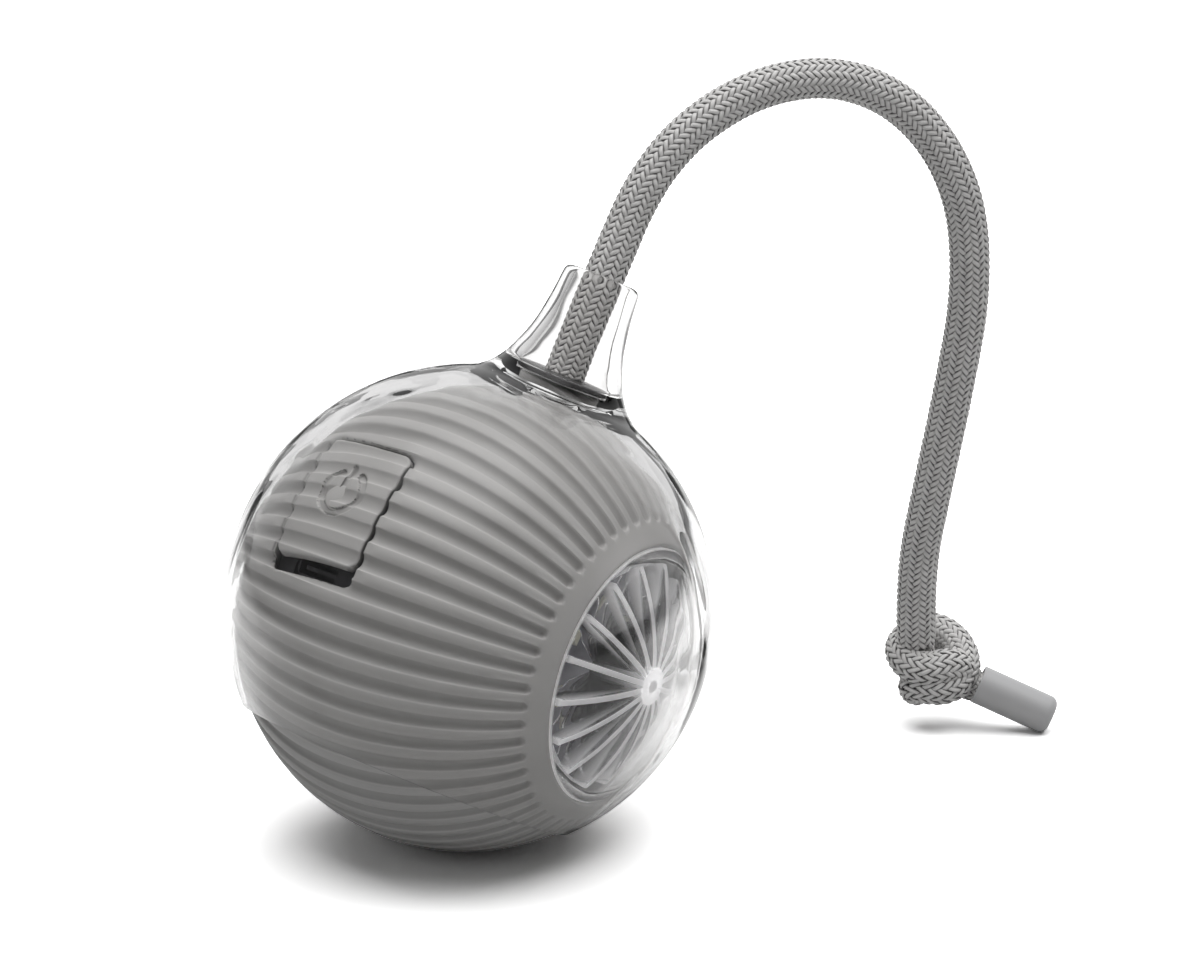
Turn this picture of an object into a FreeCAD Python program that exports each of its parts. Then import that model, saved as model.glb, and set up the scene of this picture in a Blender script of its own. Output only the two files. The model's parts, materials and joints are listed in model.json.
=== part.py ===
import FreeCAD, Part
import math
import os
import Sketcher

# Self-rolling dog ball with a rope tail.
# A ribbed grey ball, 79.6 mm across, holds a geared motor that swings a weight
# about the pole axis. A clear one-piece cover with a hollow neck is stretched
# over the ball and leaves its underside bare. A braided rope is anchored by a
# disc in the neck, and ends in an overhand knot and a short end sleeve.
# The frame has its origin on the floor under the middle of the cover,
# X to the right, Y to the rear and Z up. Millimetres.

V = FreeCAD.Vector
doc = FreeCAD.newDocument("DogBall")
sheet = doc.addObject("Spreadsheet::Sheet", "Sizes")


class Size:
    """A length, angle or count together with the sheet formula it comes from."""

    def __init__(self, value, text):
        self.value = value
        self.text = text

    def joined(self, other, sign, value):
        return Size(value, "(" + self.text + sign + text_of(other) + ")")

    def __add__(self, other):
        return self.joined(other, " + ", self.value + number(other))

    def __sub__(self, other):
        return self.joined(other, " - ", self.value - number(other))

    def __mul__(self, other):
        return self.joined(other, " * ", self.value * number(other))

    def __truediv__(self, other):
        return self.joined(other, " / ", self.value / number(other))

    def __radd__(self, other):
        return Size(float(other), text_of(other)) + self

    def __rsub__(self, other):
        return Size(float(other), text_of(other)) - self

    def __rmul__(self, other):
        return Size(float(other), text_of(other)) * self

    def __neg__(self):
        return 0 - self


def number(size):
    return size.value if isinstance(size, Size) else float(size)


def text_of(size):
    return size.text if isinstance(size, Size) else repr(float(size))


def side(radius, offset):
    """The other side of a right triangle: where a sphere of this radius is at this offset."""
    value = math.sqrt(number(radius) ** 2 - number(offset) ** 2)
    text = "sqrt(" + text_of(radius) + " ^ 2 - " + text_of(offset) + " ^ 2)"
    return Size(value, text)


row = 0


def cell(alias, value, note):
    """One driving size: its name, its number and what it is, on one row of the sheet."""
    global row
    row += 1
    sheet.set("A%d" % row, alias)
    sheet.set("B%d" % row, str(value))
    sheet.set("C%d" % row, note)
    sheet.setAlias("B%d" % row, alias)
    return Size(float(value), "Sizes." + alias)


# How the cover, its neck and the ball stand
lean_right = cell("lean_right", 22, "neck leans this far to the right, degrees")
lean_back = cell("lean_back", 18, "and this far to the rear")
pole_yaw = cell("pole_yaw", -33.5, "ball's pole axis turned from X about the vertical")
pole_dip = cell("pole_dip", 7, "and dipped below the horizontal")
ball_roll = cell("ball_roll", -26.5, "ball rolled about its pole axis")

# Ball: ribbed tread over a two-part housing
ball_radius = cell("ball_radius", 39.8, "over the rib tops")
rib_height = cell("rib_height", 0.7, "rib top above the valley")
rib_top = cell("rib_top", 1.3, "width of a rib's flat top")
rib_flank = cell("rib_flank", 0.55, "width of each sloping flank")
rib_count = cell("rib_count", 52, "ribs round the ball")
rib_end = cell("rib_end", 49.5, "latitude where the ribs meet the pole ring, degrees")
ring_drop = cell("ring_drop", 0.15, "smooth pole ring below the rib tops")
tread_wall = cell("tread_wall", 1.85, "silicone under the valleys")
tread_fit = cell("tread_fit", 0.05, "between silicone and housing")
pole_hole = cell("pole_hole", 22.5, "radius of the hole in the pole ring")
housing_wall = cell("housing_wall", 2.0, "plastic wall of the housing")

# Clear cover with its neck
cover_wall = cell("cover_wall", 1.85, "wall of the cover, measured from the ball's middle")
cover_rise = cell("cover_rise", 1.7, "cover's centre above the ball's, along the neck")
cover_gap = cell("cover_gap", 0.35, "running clearance between ball and cover")
mouth_angle = cell("mouth_angle", 45, "half angle of the open mouth, degrees")
flare_angle = cell("flare_angle", 20, "angle at which the neck leaves the sphere, degrees")
neck_wall = cell("neck_wall", 2.1, "wall of the neck at its rim")
neck_length = cell("neck_length", 19.1, "top of the neck above the cover's sphere")
neck_mid_widening = cell("neck_mid_widening", 1.4, "neck's radius half way, over that at its rim")
neck_mid_rise = cell("neck_mid_rise", 8.0, "and its height above the cover's sphere")
neck_low_widening = cell("neck_low_widening", 2.9, "neck's radius above the flare, over that at its rim")
neck_low_rise = cell("neck_low_rise", 3.6, "and its height above the cover's sphere")
bore_fit = cell("bore_fit", 1.15, "between the rope and the neck's bore at its rim")
bore_mid_widening = cell("bore_mid_widening", 0.55, "bore half way, over that at its rim")
bore_mid_rise = cell("bore_mid_rise", 10.0, "and its height above the cover's sphere")
bore_low_widening = cell("bore_low_widening", 1.85, "bore lower down, over that at its rim")
bore_low_rise = cell("bore_low_rise", 4.5, "and its height above the cover's sphere")
bore_step = cell("bore_step", 0.4, "lip of the bore over the anchor disc's edge")
throat_step = cell("throat_step", 0.7, "ledge under the anchor disc's edge")
rim_round = cell("rim_round", 1.3, "rounding of the neck's rim")

# Rope and what is on it
rope_radius = cell("rope_radius", 3.6, "braided rope")
disc_radius = cell("disc_radius", 8.7, "anchor disc in the neck")
disc_thick = cell("disc_thick", 1.2, "thickness of the anchor disc")
disc_sunk = cell("disc_sunk", 1.6, "underside of the disc below the cover's sphere")
disc_fit = cell("disc_fit", 0.15, "clearance of the disc's edge in its groove")
disc_play = cell("disc_play", 0.1, "clearance of the disc's faces in its groove")
rope_straight = cell("rope_straight", 2.1, "rope turns this far below the neck's rim")
tail_squeeze = cell("tail_squeeze", 0.75, "rope is squeezed by this in the end sleeve")
sleeve_fit = cell("sleeve_fit", 0.05, "between rope and end sleeve")
sleeve_length = cell("sleeve_length", 14.6, "length of the end sleeve")
sleeve_wall = cell("sleeve_wall", 0.6, "wall of the end sleeve")
sleeve_bore = cell("sleeve_bore", 8.0, "depth of the bore of the end sleeve")

# Lamp at each pole
dome_sunk = cell("dome_sunk", 0.5, "clear dome below the rib tops")
dome_wall = cell("dome_wall", 1.6, "wall of the dome")
dome_fit = cell("dome_fit", 0.4, "between dome and pole hole")
flange_width = cell("flange_width", 2.2, "dome's flange beyond its skirt")
flange_depth = cell("flange_depth", 7.35, "housing's inner face under the dome's edge")
flange_thick = cell("flange_thick", 1.45, "thickness of the dome's flange")
seat_fit = cell("seat_fit", 0.25, "between the dome's skirt and its seat in the housing")
lens_fit = cell("lens_fit", 0.7, "between the lens's rim and the dome's skirt")
lens_hub = cell("lens_hub", 3.2, "radius of the lens's hub")
fin_count = cell("fin_count", 16, "fins of the lens")
fin_thick = cell("fin_thick", 1.2, "thickness of a fin")
lens_turn = cell("lens_turn", 1, "turn of the lens about the pole axis, degrees")
board_thick = cell("board_thick", 1.0, "circuit boards")
led_board_fit = cell("led_board_fit", 0.5, "between lamp board and dome's skirt")
led_count = cell("led_count", 6, "lamps on each board")
led_circle = cell("led_circle", 11.0, "radius of the circle of lamps")
led_width = cell("led_width", 2.8, "side of a lamp")
bulkhead_thick = cell("bulkhead_thick", 0.9, "plate behind each lamp board")
bulkhead_fit = cell("bulkhead_fit", 0.1, "plate behind each lamp board, inside the flange's edge")
seal_thick = cell("seal_thick", 0.5, "seal between flange and housing")

# Drive
swing_radius = cell("swing_radius", 25.0, "outside of the swing weight")
swing_thick = cell("swing_thick", 8.6, "thickness of the swing weight")
swing_angle = cell("swing_angle", 160, "angle of the weight's sector, degrees")
swing_middle = cell("swing_middle", -1.5, "middle of the weight along the pole axis")
shaft_radius = cell("shaft_radius", 2.0, "output shaft")
shaft_fit = cell("shaft_fit", 0.05, "running clearance of shaft and pins")
gear_module = cell("gear_module", 0.5, "module of both gear pairs")
pinion_teeth = cell("pinion_teeth", 10, "motor pinion")
cluster_teeth = cell("cluster_teeth", 40, "large gear of the cluster")
cluster_small = cell("cluster_small", 12, "small gear of the cluster")
output_teeth = cell("output_teeth", 42, "output gear")
mesh_play = cell("mesh_play", 0.1, "added to each gear centre distance")
motor_turn = cell("motor_turn", 252, "motor's place about the pole axis, degrees")
motor_offset = cell("motor_offset", 16.5, "motor's axis from the pole axis")
motor_radius = cell("motor_radius", 12.0, "motor can")
motor_length = cell("motor_length", 12.0, "length of the motor can")
frame_face = cell("frame_face", 16.4, "inner face of the gear frame along the pole axis")
frame_thick = cell("frame_thick", 1.4, "gear frame plate")
gear_gap = cell("gear_gap", 0.3, "side clearance between gears and plates")
gear_width = cell("gear_width", 1.8, "width of the large gears")

# Battery side
tray_face = cell("tray_face", 9.4, "outer face of the battery tray from the ball's middle")
tray_thick = cell("tray_thick", 1.4, "battery tray plate")
bush_length = cell("bush_length", 2.4, "both bushes of the output shaft")
bush_radius = cell("bush_radius", 3.4, "outside of the bushes")
pillar_inset = cell("pillar_inset", 1.7, "pillars that carry the bulkheads, in from their edge")
pillar_radius = cell("pillar_radius", 1.3, "pillars that carry the bulkheads")
battery_thick = cell("battery_thick", 8.0, "battery cell")
battery_width = cell("battery_width", 26.0, "battery cell")
battery_fit = cell("battery_fit", 2.2, "between the cell's ends and the pillars")

# Switch and charging socket under the button panel
button_turn = cell("button_turn", 72, "panel's place about the pole axis, degrees")
button_near = cell("button_near", 0.3, "panel's edge nearest the ball's middle plane")
button_far = cell("button_far", 18.2, "and its far edge")
button_high = cell("button_high", 10.6, "panel's upper edge from its axis")
button_low = cell("button_low", 11.0, "and its lower edge")
button_round = cell("button_round", 2.0, "corner radius of the panel")
button_gap = cell("button_gap", 0.35, "gap round the panel")
button_lift = cell("button_lift", 0.7, "panel's underside above the housing")
button_travel = cell("button_travel", 0.6, "travel of the panel")
slot_low = cell("slot_low", 13.75, "lower edge of the charging slot")
stem_radius = cell("stem_radius", 2.4, "stem under the panel")
stem_end = cell("stem_end", 32.0, "end of the stem from the pole axis")
button_board = cell("button_board", 26.6, "inner face of the button board from the pole axis")
socket_width = cell("socket_width", 8.94, "charging socket")
socket_height = cell("socket_height", 3.2, "charging socket")
socket_length = cell("socket_length", 6.4, "charging socket")
socket_turn = cell("socket_turn", 19, "socket's place below the panel's axis, degrees")
socket_end = cell("socket_end", 34.2, "mouth of the socket from the pole axis")

# Screws
boss_circle = cell("boss_circle", 29.5, "radius at which the housing screws lie")
boss_radius = cell("boss_radius", 3.2, "housing screw bosses")
screw_radius = cell("screw_radius", 1.0, "housing screws")
screw_head = cell("screw_head", 2.0, "radius of a housing screw's head")
ear_circle = cell("ear_circle", 27.5, "radius at which the frame screws lie")
small_screw = cell("small_screw", 0.8, "small screws")
press_fit = cell("press_fit", 0.01, "shafts and pins in what holds them")
hole_fit = cell("hole_fit", 0.1, "small screws and their heads in the holes they pass")
thread_fit = cell("thread_fit", 0.05, "screws in the holes that hold them")
boss_fit = cell("boss_fit", 0.15, "housing screws in the left half, and the motor's boss in the gear frame")
head_fit = cell("head_fit", 0.3, "round the head of a housing screw")
stem_fit = cell("stem_fit", 0.25, "stem in the housing")
socket_fit = cell("socket_fit", 0.4, "opening for the charging socket, over its width and height")
screw_short = cell("screw_short", 0.4, "screws stop this far above the foot of their hole")

doc.recompute()

# Where the cover and the ball stand. Both frames share the neck's direction for
# their offset; the lowest rib touches the floor.
cover_turn = FreeCAD.Rotation(V(1, 0, 0), -lean_back.value) * FreeCAD.Rotation(V(0, 1, 0), lean_right.value)
neck_axis = cover_turn.multVec(V(0, 0, 1))
rise = neck_axis * cover_rise.value
cover_frame = FreeCAD.Placement(V(0, 0, ball_radius.value + rise.z), cover_turn)
ball_turn = (
    FreeCAD.Rotation(V(0, 0, 1), pole_yaw.value)
    * FreeCAD.Rotation(V(0, 1, 0), pole_dip.value)
    * FreeCAD.Rotation(V(1, 0, 0), ball_roll.value)
)
ball_frame = FreeCAD.Placement(cover_frame.Base - rise, ball_turn)
left_frame = ball_frame * FreeCAD.Placement(V(0, 0, 0), FreeCAD.Rotation(V(0, 0, 1), 180))


def turned(frame, degrees):
    """The frame turned about its own X axis, the ball's pole axis."""
    return frame * FreeCAD.Placement(V(0, 0, 0), FreeCAD.Rotation(V(1, 0, 0), degrees))


button_frame = turned(ball_frame, button_turn.value)
down_turn = 180 - ball_roll.value

pieces = []


def bind(thing, **sizes):
    """Set properties of an object to sheet formulas."""
    for name, size in sizes.items():
        thing.setExpression(name, text_of(size))
    return thing


def place(thing, x, y, z):
    """Bind an object's position to sheet formulas."""
    thing.setExpression("Placement.Base.x", text_of(x))
    thing.setExpression("Placement.Base.y", text_of(y))
    thing.setExpression("Placement.Base.z", text_of(z))
    return thing


def keep(thing, label, frame):
    """Make an object a sub-part: give it its label and its place in the assembly."""
    thing.Label = label
    thing.Placement = frame
    pieces.append(thing)
    return thing


def cylinder(radius, length, x, y=0, z=0):
    """A cylinder along X from x."""
    thing = bind(doc.addObject("Part::Cylinder", "Cylinder"), Radius=radius, Height=length)
    thing.Placement = FreeCAD.Placement(V(0, 0, 0), FreeCAD.Rotation(V(0, 1, 0), 90))
    return place(thing, x, y, z)


def upright(radius, length, x, y, z):
    """A cylinder along Z from z."""
    thing = bind(doc.addObject("Part::Cylinder", "Upright"), Radius=radius, Height=length)
    return place(thing, x, y, z)


def block(length, width, height, x, y, z):
    """A box with its middle at x, y and its foot at z."""
    thing = bind(doc.addObject("Part::Box", "Block"), Length=length, Width=width, Height=height)
    return place(thing, x - length / 2, y - width / 2, z)


def ball(radius):
    return bind(doc.addObject("Part::Sphere", "Ball"), Radius=radius)


def fused(things):
    thing = doc.addObject("Part::MultiFuse", "Joined")
    thing.Shapes = things
    return thing


def cut(base, tools):
    thing = doc.addObject("Part::Cut", "Trimmed")
    thing.Base = base
    thing.Tool = tools[0] if len(tools) == 1 else fused(tools)
    return thing


def common(first, second):
    thing = doc.addObject("Part::Common", "Shared")
    thing.Base = first
    thing.Tool = second
    return thing


def rounded(base, radius, wanted):
    """Round the edges that a test on the edge picks."""
    doc.recompute()
    thing = doc.addObject("Part::Fillet", "Rounded")
    thing.Base = base
    size = number(radius)
    chosen = [i + 1 for i, edge in enumerate(base.Shape.Edges) if wanted(edge)]
    thing.Edges = [(i, size, size) for i in chosen]
    return thing


def polar(circle, degrees):
    """A place on a circle about the pole axis, measured from +Z towards -Y."""
    angle = math.radians(degrees)
    return -circle * math.sin(angle), circle * math.cos(angle)


def origin_plane(body, role):
    for feature in body.Origin.OriginFeatures:
        if feature.Role == role:
            return feature


def outline(body, role, points, name="Outline"):
    """A closed sketch on one of the body's own planes.

    Each point is (x, y, fixed, centre): fixed says which coordinates are set by
    the sheet, and centre, if any, is the height on the sketch's vertical axis of
    the arc that leads on to the next point, with its radius, or None for a line.
    """
    sketch = body.newObject("Sketcher::SketchObject", name)
    sketch.AttachmentSupport = (origin_plane(body, role), [""])
    sketch.MapMode = "FlatFace"
    ends = []
    count = len(points)
    for i in range(count):
        x0, y0 = number(points[i][0]), number(points[i][1])
        x1, y1 = number(points[(i + 1) % count][0]), number(points[(i + 1) % count][1])
        radius = points[i][3]
        if radius is None:
            sketch.addGeometry(Part.LineSegment(V(x0, y0, 0), V(x1, y1, 0)), False)
            ends.append((1, 2))
        else:
            a0, a1 = math.atan2(y0, x0), math.atan2(y1, x1)
            circle = Part.Circle(V(0, 0, 0), V(0, 0, 1), number(radius))
            sketch.addGeometry(Part.ArcOfCircle(circle, min(a0, a1), max(a0, a1)), False)
            ends.append((1, 2) if a1 > a0 else (2, 1))
            sketch.addConstraint(Sketcher.Constraint("Coincident", i, 3, -1, 1))
            index = sketch.addConstraint(Sketcher.Constraint("Radius", i, number(radius)))
            sketch.setExpression("Constraints[%d]" % index, text_of(radius))
    for i in range(count):
        following = (i + 1) % count
        sketch.addConstraint(
            Sketcher.Constraint("Coincident", i, ends[i][1], following, ends[following][0])
        )
    for i in range(count):
        x, y, fixed, radius = points[i]
        corner = ends[i][0]
        if "x" in fixed:
            pin(sketch, i, corner, "DistanceX", x, -2)
        if "y" in fixed:
            pin(sketch, i, corner, "DistanceY", y, -1)
    return sketch


def pin(sketch, edge, corner, kind, size, axis):
    """Hold one coordinate of a sketch point at a size, or on an axis when it is zero."""
    if number(size) == 0:
        sketch.addConstraint(Sketcher.Constraint("PointOnObject", edge, corner, axis))
        return
    index = sketch.addConstraint(Sketcher.Constraint(kind, -1, 1, edge, corner, number(size)))
    sketch.setExpression("Constraints[%d]" % index, text_of(size))


def revolved(body, sketch, axis="H_Axis"):
    feature = body.newObject("PartDesign::Revolution", "Turned")
    feature.Profile = (sketch, [""])
    feature.ReferenceAxis = (sketch, [axis])
    feature.Angle = 360
    sketch.Visibility = False
    return feature


def grooved(body, sketch, axis="H_Axis"):
    feature = body.newObject("PartDesign::Groove", "Groove")
    feature.Profile = (sketch, [""])
    feature.ReferenceAxis = (sketch, [axis])
    feature.Angle = 360
    return feature


def turned_pin(label, radius, length, bevel, frame, x, y=0, z=0):
    """A round bar or disc along X, bevelled at both ends, as a sub-part of its own."""
    body = new_body(label)
    sketch = outline(body, "XY_Plane", [
        (0, 0, "xy", None),
        (length, 0, "xy", None),
        (length, radius - bevel, "xy", None),
        (length - bevel, radius, "xy", None),
        (bevel, radius, "xy", None),
        (0, radius - bevel, "xy", None),
    ])
    revolved(body, sketch)
    keep(body, label, frame * FreeCAD.Placement(V(number(x), number(y), number(z)), FreeCAD.Rotation()))


def new_body(label):
    return doc.addObject("PartDesign::Body", label)


def shape_of(label, shape, frame):
    """A sub-part whose form is worked out directly."""
    thing = doc.addObject("Part::Feature", label)
    thing.Shape = shape
    return keep(thing, label, frame)


# Derived radii that several pieces share
valley_radius = ball_radius - rib_height
skirt_radius = pole_hole - dome_fit
skirt_inner = skirt_radius - dome_wall
seat_radius = skirt_radius + seat_fit
dome_radius = ball_radius - dome_sunk
flange_radius = skirt_radius + flange_width
bulkhead_radius = flange_radius - bulkhead_fit
pillar_circle = bulkhead_radius - pillar_inset
lens_radius = skirt_inner - lens_fit
led_board_radius = skirt_inner - led_board_fit
battery_length = (pillar_circle - pillar_radius - battery_fit) * 2
land_face = side(dome_radius, skirt_radius) - flange_depth
flange_face = land_face - seal_thick
bulkhead_outer = flange_face - flange_thick
ring_radius = ball_radius - ring_drop
housing_radius = valley_radius - tread_wall
housing_inner = housing_radius - housing_wall
cover_inner = ball_radius + cover_gap
cover_radius = cover_inner + cover_wall
neck_height = cover_radius + neck_length
bore_top_radius = rope_radius + bore_fit
neck_top_radius = bore_top_radius + neck_wall
disc_height = cover_radius - disc_sunk
tail_radius = rope_radius - tail_squeeze
sleeve_radius = tail_radius + sleeve_fit + sleeve_wall

# Tread: a silicone skin between two pole rings, with ribs that run from pole to
# pole. Each rib is one section turned about the axis square to the pole axis.


def rib_bar(half_angle):
    """One rib over the middle of the ball's +Z side, its foot sunk into the skin."""
    valley = valley_radius.value
    half_top = rib_top.value / 2
    half_foot = half_top + rib_flank.value
    sunk = valley - rib_height.value
    corners = [
        V(0, -half_foot, sunk),
        V(0, -half_foot, valley),
        V(0, -half_top, ball_radius.value),
        V(0, half_top, ball_radius.value),
        V(0, half_foot, valley),
        V(0, half_foot, sunk),
    ]
    face = Part.Face(Part.makePolygon(corners + corners[:1]))
    face.rotate(V(0, 0, 0), V(0, 1, 0), -half_angle)
    return face.revolve(V(0, 0, 0), V(0, 1, 0), 2 * half_angle)


def arc_about_origin(radius, start, end):
    """An arc in the XZ plane, its angles measured from the middle plane towards the pole."""
    angles = [math.radians(a) for a in (start, (start + end) / 2, end)]
    points = [V(radius * math.sin(a), 0, radius * math.cos(a)) for a in angles]
    return Part.Arc(*points).toShape()


def skin(inner, outer, hole, half_angle, ring):
    """The smooth skin under the ribs and, past the ribs, the pole rings."""
    ring_angle = math.degrees(math.asin(hole / ring))
    inner_angle = math.degrees(math.asin(hole / inner))
    edges = [
        arc_about_origin(inner, -(90 - inner_angle), 90 - inner_angle),
        arc_about_origin(outer, -half_angle, half_angle),
        arc_about_origin(ring, half_angle, 90 - ring_angle),
        arc_about_origin(ring, -half_angle, -(90 - ring_angle)),
    ]
    for sign in (1, -1):
        edges.append(Part.makeLine(
            arc_point(inner, sign * (90 - inner_angle)), arc_point(ring, sign * (90 - ring_angle))))
        edges.append(Part.makeLine(
            arc_point(outer, sign * half_angle), arc_point(ring, sign * half_angle)))
    wire = Part.Wire(Part.__sortEdges__(edges))
    return Part.Face(wire).revolve(V(0, 0, 0), V(1, 0, 0), 360)


def arc_point(radius, degrees):
    angle = math.radians(degrees)
    return V(radius * math.sin(angle), 0, radius * math.cos(angle))


def window_prism(near, far, high, low, radius, foot, top):
    """An upright rounded prism in the button's frame, for the panel or its window."""
    corners = [V(-far, -low, foot), V(-near, -low, foot), V(-near, high, foot), V(-far, high, foot)]
    face = Part.Face(Part.makePolygon(corners + corners[:1]))
    prism = face.extrude(V(0, 0, top - foot))
    edges = [e for e in prism.Edges if abs(e.BoundBox.ZLength - (top - foot)) < 0.001]
    return prism.makeFillet(radius, edges)


gap = button_gap.value
window = window_prism(
    button_near.value - gap, button_far.value + gap, button_high.value + gap, slot_low.value,
    button_round.value + gap, 20, 50)
window.Placement = turned(FreeCAD.Placement(), button_turn.value)
skin_inner = housing_radius.value + tread_fit.value
tread = skin(skin_inner, valley_radius.value, pole_hole.value, rib_end.value, ring_radius.value)
rib_root = cell("rib_root", 0.9, "ribs run this far into the pole rings, degrees")
bars = []
for i in range(int(rib_count.value)):
    bar = rib_bar(rib_end.value + rib_root.value)
    bar.rotate(V(0, 0, 0), V(1, 0, 0), down_turn + i * 360 / rib_count.value)
    bars.append(bar)
tread = tread.fuse(bars).cut(window)
shape_of("tread_sleeve", tread.Solids[0], ball_frame)

# Button panel: a key with the tread's ribs on its face and a stem through the
# housing. It rides just above the housing.
panel_inner = (housing_radius + button_lift).value
key = window_prism(
    button_near.value, button_far.value, button_high.value, button_low.value, button_round.value, 20, 50)
first_rib = int(round((button_turn.value - down_turn) * rib_count.value / 360))
panel = Part.makeSphere(valley_radius.value).common(key).cut(Part.makeSphere(panel_inner))
for i in range(first_rib - 4, first_rib + 5):
    bar = rib_bar(rib_end.value)
    bar.rotate(V(0, 0, 0), V(1, 0, 0), down_turn - button_turn.value + i * 360 / rib_count.value)
    bar = bar.common(key)
    if bar.Volume > 0.5:
        panel = panel.fuse(bar)
stem_x = -(button_near + button_far) / 2
stem_y = (button_high - button_low) / 2
stem_length = panel_inner + 0.4 - stem_end.value
stem = Part.makeCylinder(stem_radius.value, stem_length, V(stem_x.value, stem_y.value, stem_end.value))
stem = stem.common(Part.makeSphere(panel_inner + 0.4))
shape_of("power_button", panel.fuse(stem).Solids[0], button_frame)

# Housing halves: shells split at the middle plane, each with a seal groove,
# a flat land inside its pole hole, screw bosses and posts for what it carries.
seal_middle = housing_radius - housing_wall / 2
seal_half = cell("seal_half", 0.45, "half the width of the seal between the housing halves")
head_seat = cell("head_seat", 9, "seat of the housing screws' heads from the middle plane")
boss_depth = cell("boss_depth", 8, "depth of the screw holes in the right half")
post_radius = cell("post_radius", 2.6, "posts for the frame and tray screws")
post_depth = cell("post_depth", 4.0, "depth of the screw holes in the posts")
boss_places = [12, 132, 192, 312]
ear_places = [27, 117, 207, 297]
tray_places = [162, 252, 342]


def housing_shell(label):
    body = new_body(label)
    sketch = outline(body, "XY_Plane", [
        (0, housing_inner, "x", housing_inner),
        (land_face, side(housing_inner, land_face), "x", None),
        (land_face, seat_radius, "xy", None),
        (side(housing_radius, seat_radius), seat_radius, "y", housing_radius),
        (0, housing_radius, "x", None),
    ])
    revolved(body, sketch)
    groove = outline(body, "XY_Plane", [
        (0, seal_middle - seal_half, "xy", None),
        (seal_half, seal_middle - seal_half, "xy", None),
        (seal_half, seal_middle + seal_half, "xy", None),
        (0, seal_middle + seal_half, "xy", None),
    ], "GrooveOutline")
    grooved(body, groove)
    return body


def studs(places, circle, radius, start, reach):
    """Round studs along X at these places, as far as the middle of the housing's wall."""
    things = []
    for degrees in places:
        y, z = polar(1, degrees)
        things.append(cylinder(radius, reach - start, start, circle * y, circle * z))
    return common(fused(things), ball(seal_middle))


def holes(places, circle, radius, start, length):
    """Round tools along X, for holes and for screws."""
    things = []
    for degrees in places:
        y, z = polar(1, degrees)
        things.append(cylinder(radius, length, start, circle * y, circle * z))
    return things


frame_back = frame_face + frame_thick
right = fused([
    housing_shell("HousingShell"),
    studs(boss_places, boss_circle, boss_radius, Size(0, "0"), side(housing_inner, boss_circle)),
    studs(ear_places, ear_circle, post_radius, frame_back, side(housing_radius, ear_circle)),
])
right = cut(right,
    holes(boss_places, boss_circle, screw_radius + thread_fit, Size(0, "0"), boss_depth)
    + holes(ear_places, ear_circle, small_screw + thread_fit, frame_back, post_depth))
keep(right, "housing_right", ball_frame)

# The left half also has the hole for the button's stem, the opening for the
# charging socket and the posts of the two small boards, all in the panel's frame.
to_left = FreeCAD.Placement(V(0, 0, 0), FreeCAD.Rotation(V(0, 0, 1), 180))
post_small = cell("post_small", 1.7, "posts of the small boards")
board_post_x = cell("board_post_x", 5.8, "button board's posts along the pole axis from the stem")
board_post_y = cell("board_post_y", 5.6, "and above it")
charge_post_x = cell("charge_post_x", 6.4, "charging board's posts from the socket's middle")
charge_board = cell("charge_board", 26.8, "inner face of the charging board from the pole axis")
board_top = button_board + board_thick
charge_top = charge_board + board_thick
board_posts = [(stem_x + board_post_x, stem_y + board_post_y), (stem_x - board_post_x, stem_y + board_post_y)]
charge_posts = [(stem_x + charge_post_x, 0), (stem_x - charge_post_x, 0)]


def group(things, frame):
    """A fused group of tools with its own place."""
    thing = fused(things)
    thing.Placement = frame
    return thing


panel_side = to_left * turned(FreeCAD.Placement(), button_turn.value)
socket_side = turned(panel_side, socket_turn.value)
posts = []
for x, y in board_posts:
    posts.append(upright(post_small, housing_radius - board_top, x, y, board_top))
sockets = []
for x, y in charge_posts:
    sockets.append(upright(post_small, housing_radius - charge_top, x, y, charge_top))
post_holes = []
for x, y in board_posts:
    post_holes.append(upright(small_screw + thread_fit, Size(3, "3"), x, y, board_top))
socket_holes = []
for x, y in charge_posts:
    socket_holes.append(upright(small_screw + thread_fit, Size(2, "2"), x, y, charge_top))
socket_holes.append(block(
    socket_width + socket_fit, socket_height + socket_fit, Size(20, "20"), stem_x, 0, charge_top + 3))
post_holes.append(upright(stem_radius + stem_fit, Size(20, "20"), stem_x, stem_y, board_top + 3))
left_places = [-a for a in boss_places]
left_posts = [-a for a in tray_places]
left = fused([
    housing_shell("HousingShell"),
    studs(left_places, boss_circle, boss_radius, Size(0, "0"), side(housing_radius, boss_circle - boss_radius)),
    studs(left_posts, ear_circle, post_radius, tray_face, side(housing_radius, ear_circle)),
    common(group(posts, panel_side), ball(seal_middle)),
    common(group(sockets, socket_side), ball(seal_middle)),
])
left = cut(left,
    holes(left_places, boss_circle, screw_radius + boss_fit, Size(0, "0"), head_seat + 1)
    + holes(left_places, boss_circle, screw_head + head_fit, head_seat, Size(30, "30"))
    + holes(left_posts, ear_circle, small_screw + thread_fit, tray_face, post_depth)
    + [group(post_holes, panel_side), group(socket_holes, socket_side)])
keep(left, "housing_left", left_frame)


def ring(outer, inner, length, x):
    """A plain ring along X from x."""
    return cut(cylinder(outer, length, x), [cylinder(inner, length + 0.4, x - 0.2)])


seal_gap = cell("seal_gap", 0.05, "round the seal between the housing halves")
keep(
    ring(seal_middle + seal_half - seal_gap, seal_middle - seal_half + seal_gap,
        (seal_half - seal_gap) * 2, -(seal_half - seal_gap)),
    "housing_seal", ball_frame)

head_high = cell("head_high", 1.4, "height of the housing screws' heads")
screw_reach = cell("screw_reach", 6.5, "housing screws' ends past the middle plane")
keep(
    fused(
        holes(left_places, boss_circle, screw_radius, -screw_reach, screw_reach + head_seat)
        + holes(left_places, boss_circle, screw_head, head_seat, head_high)),
    "housing_screws", left_frame)

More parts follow.
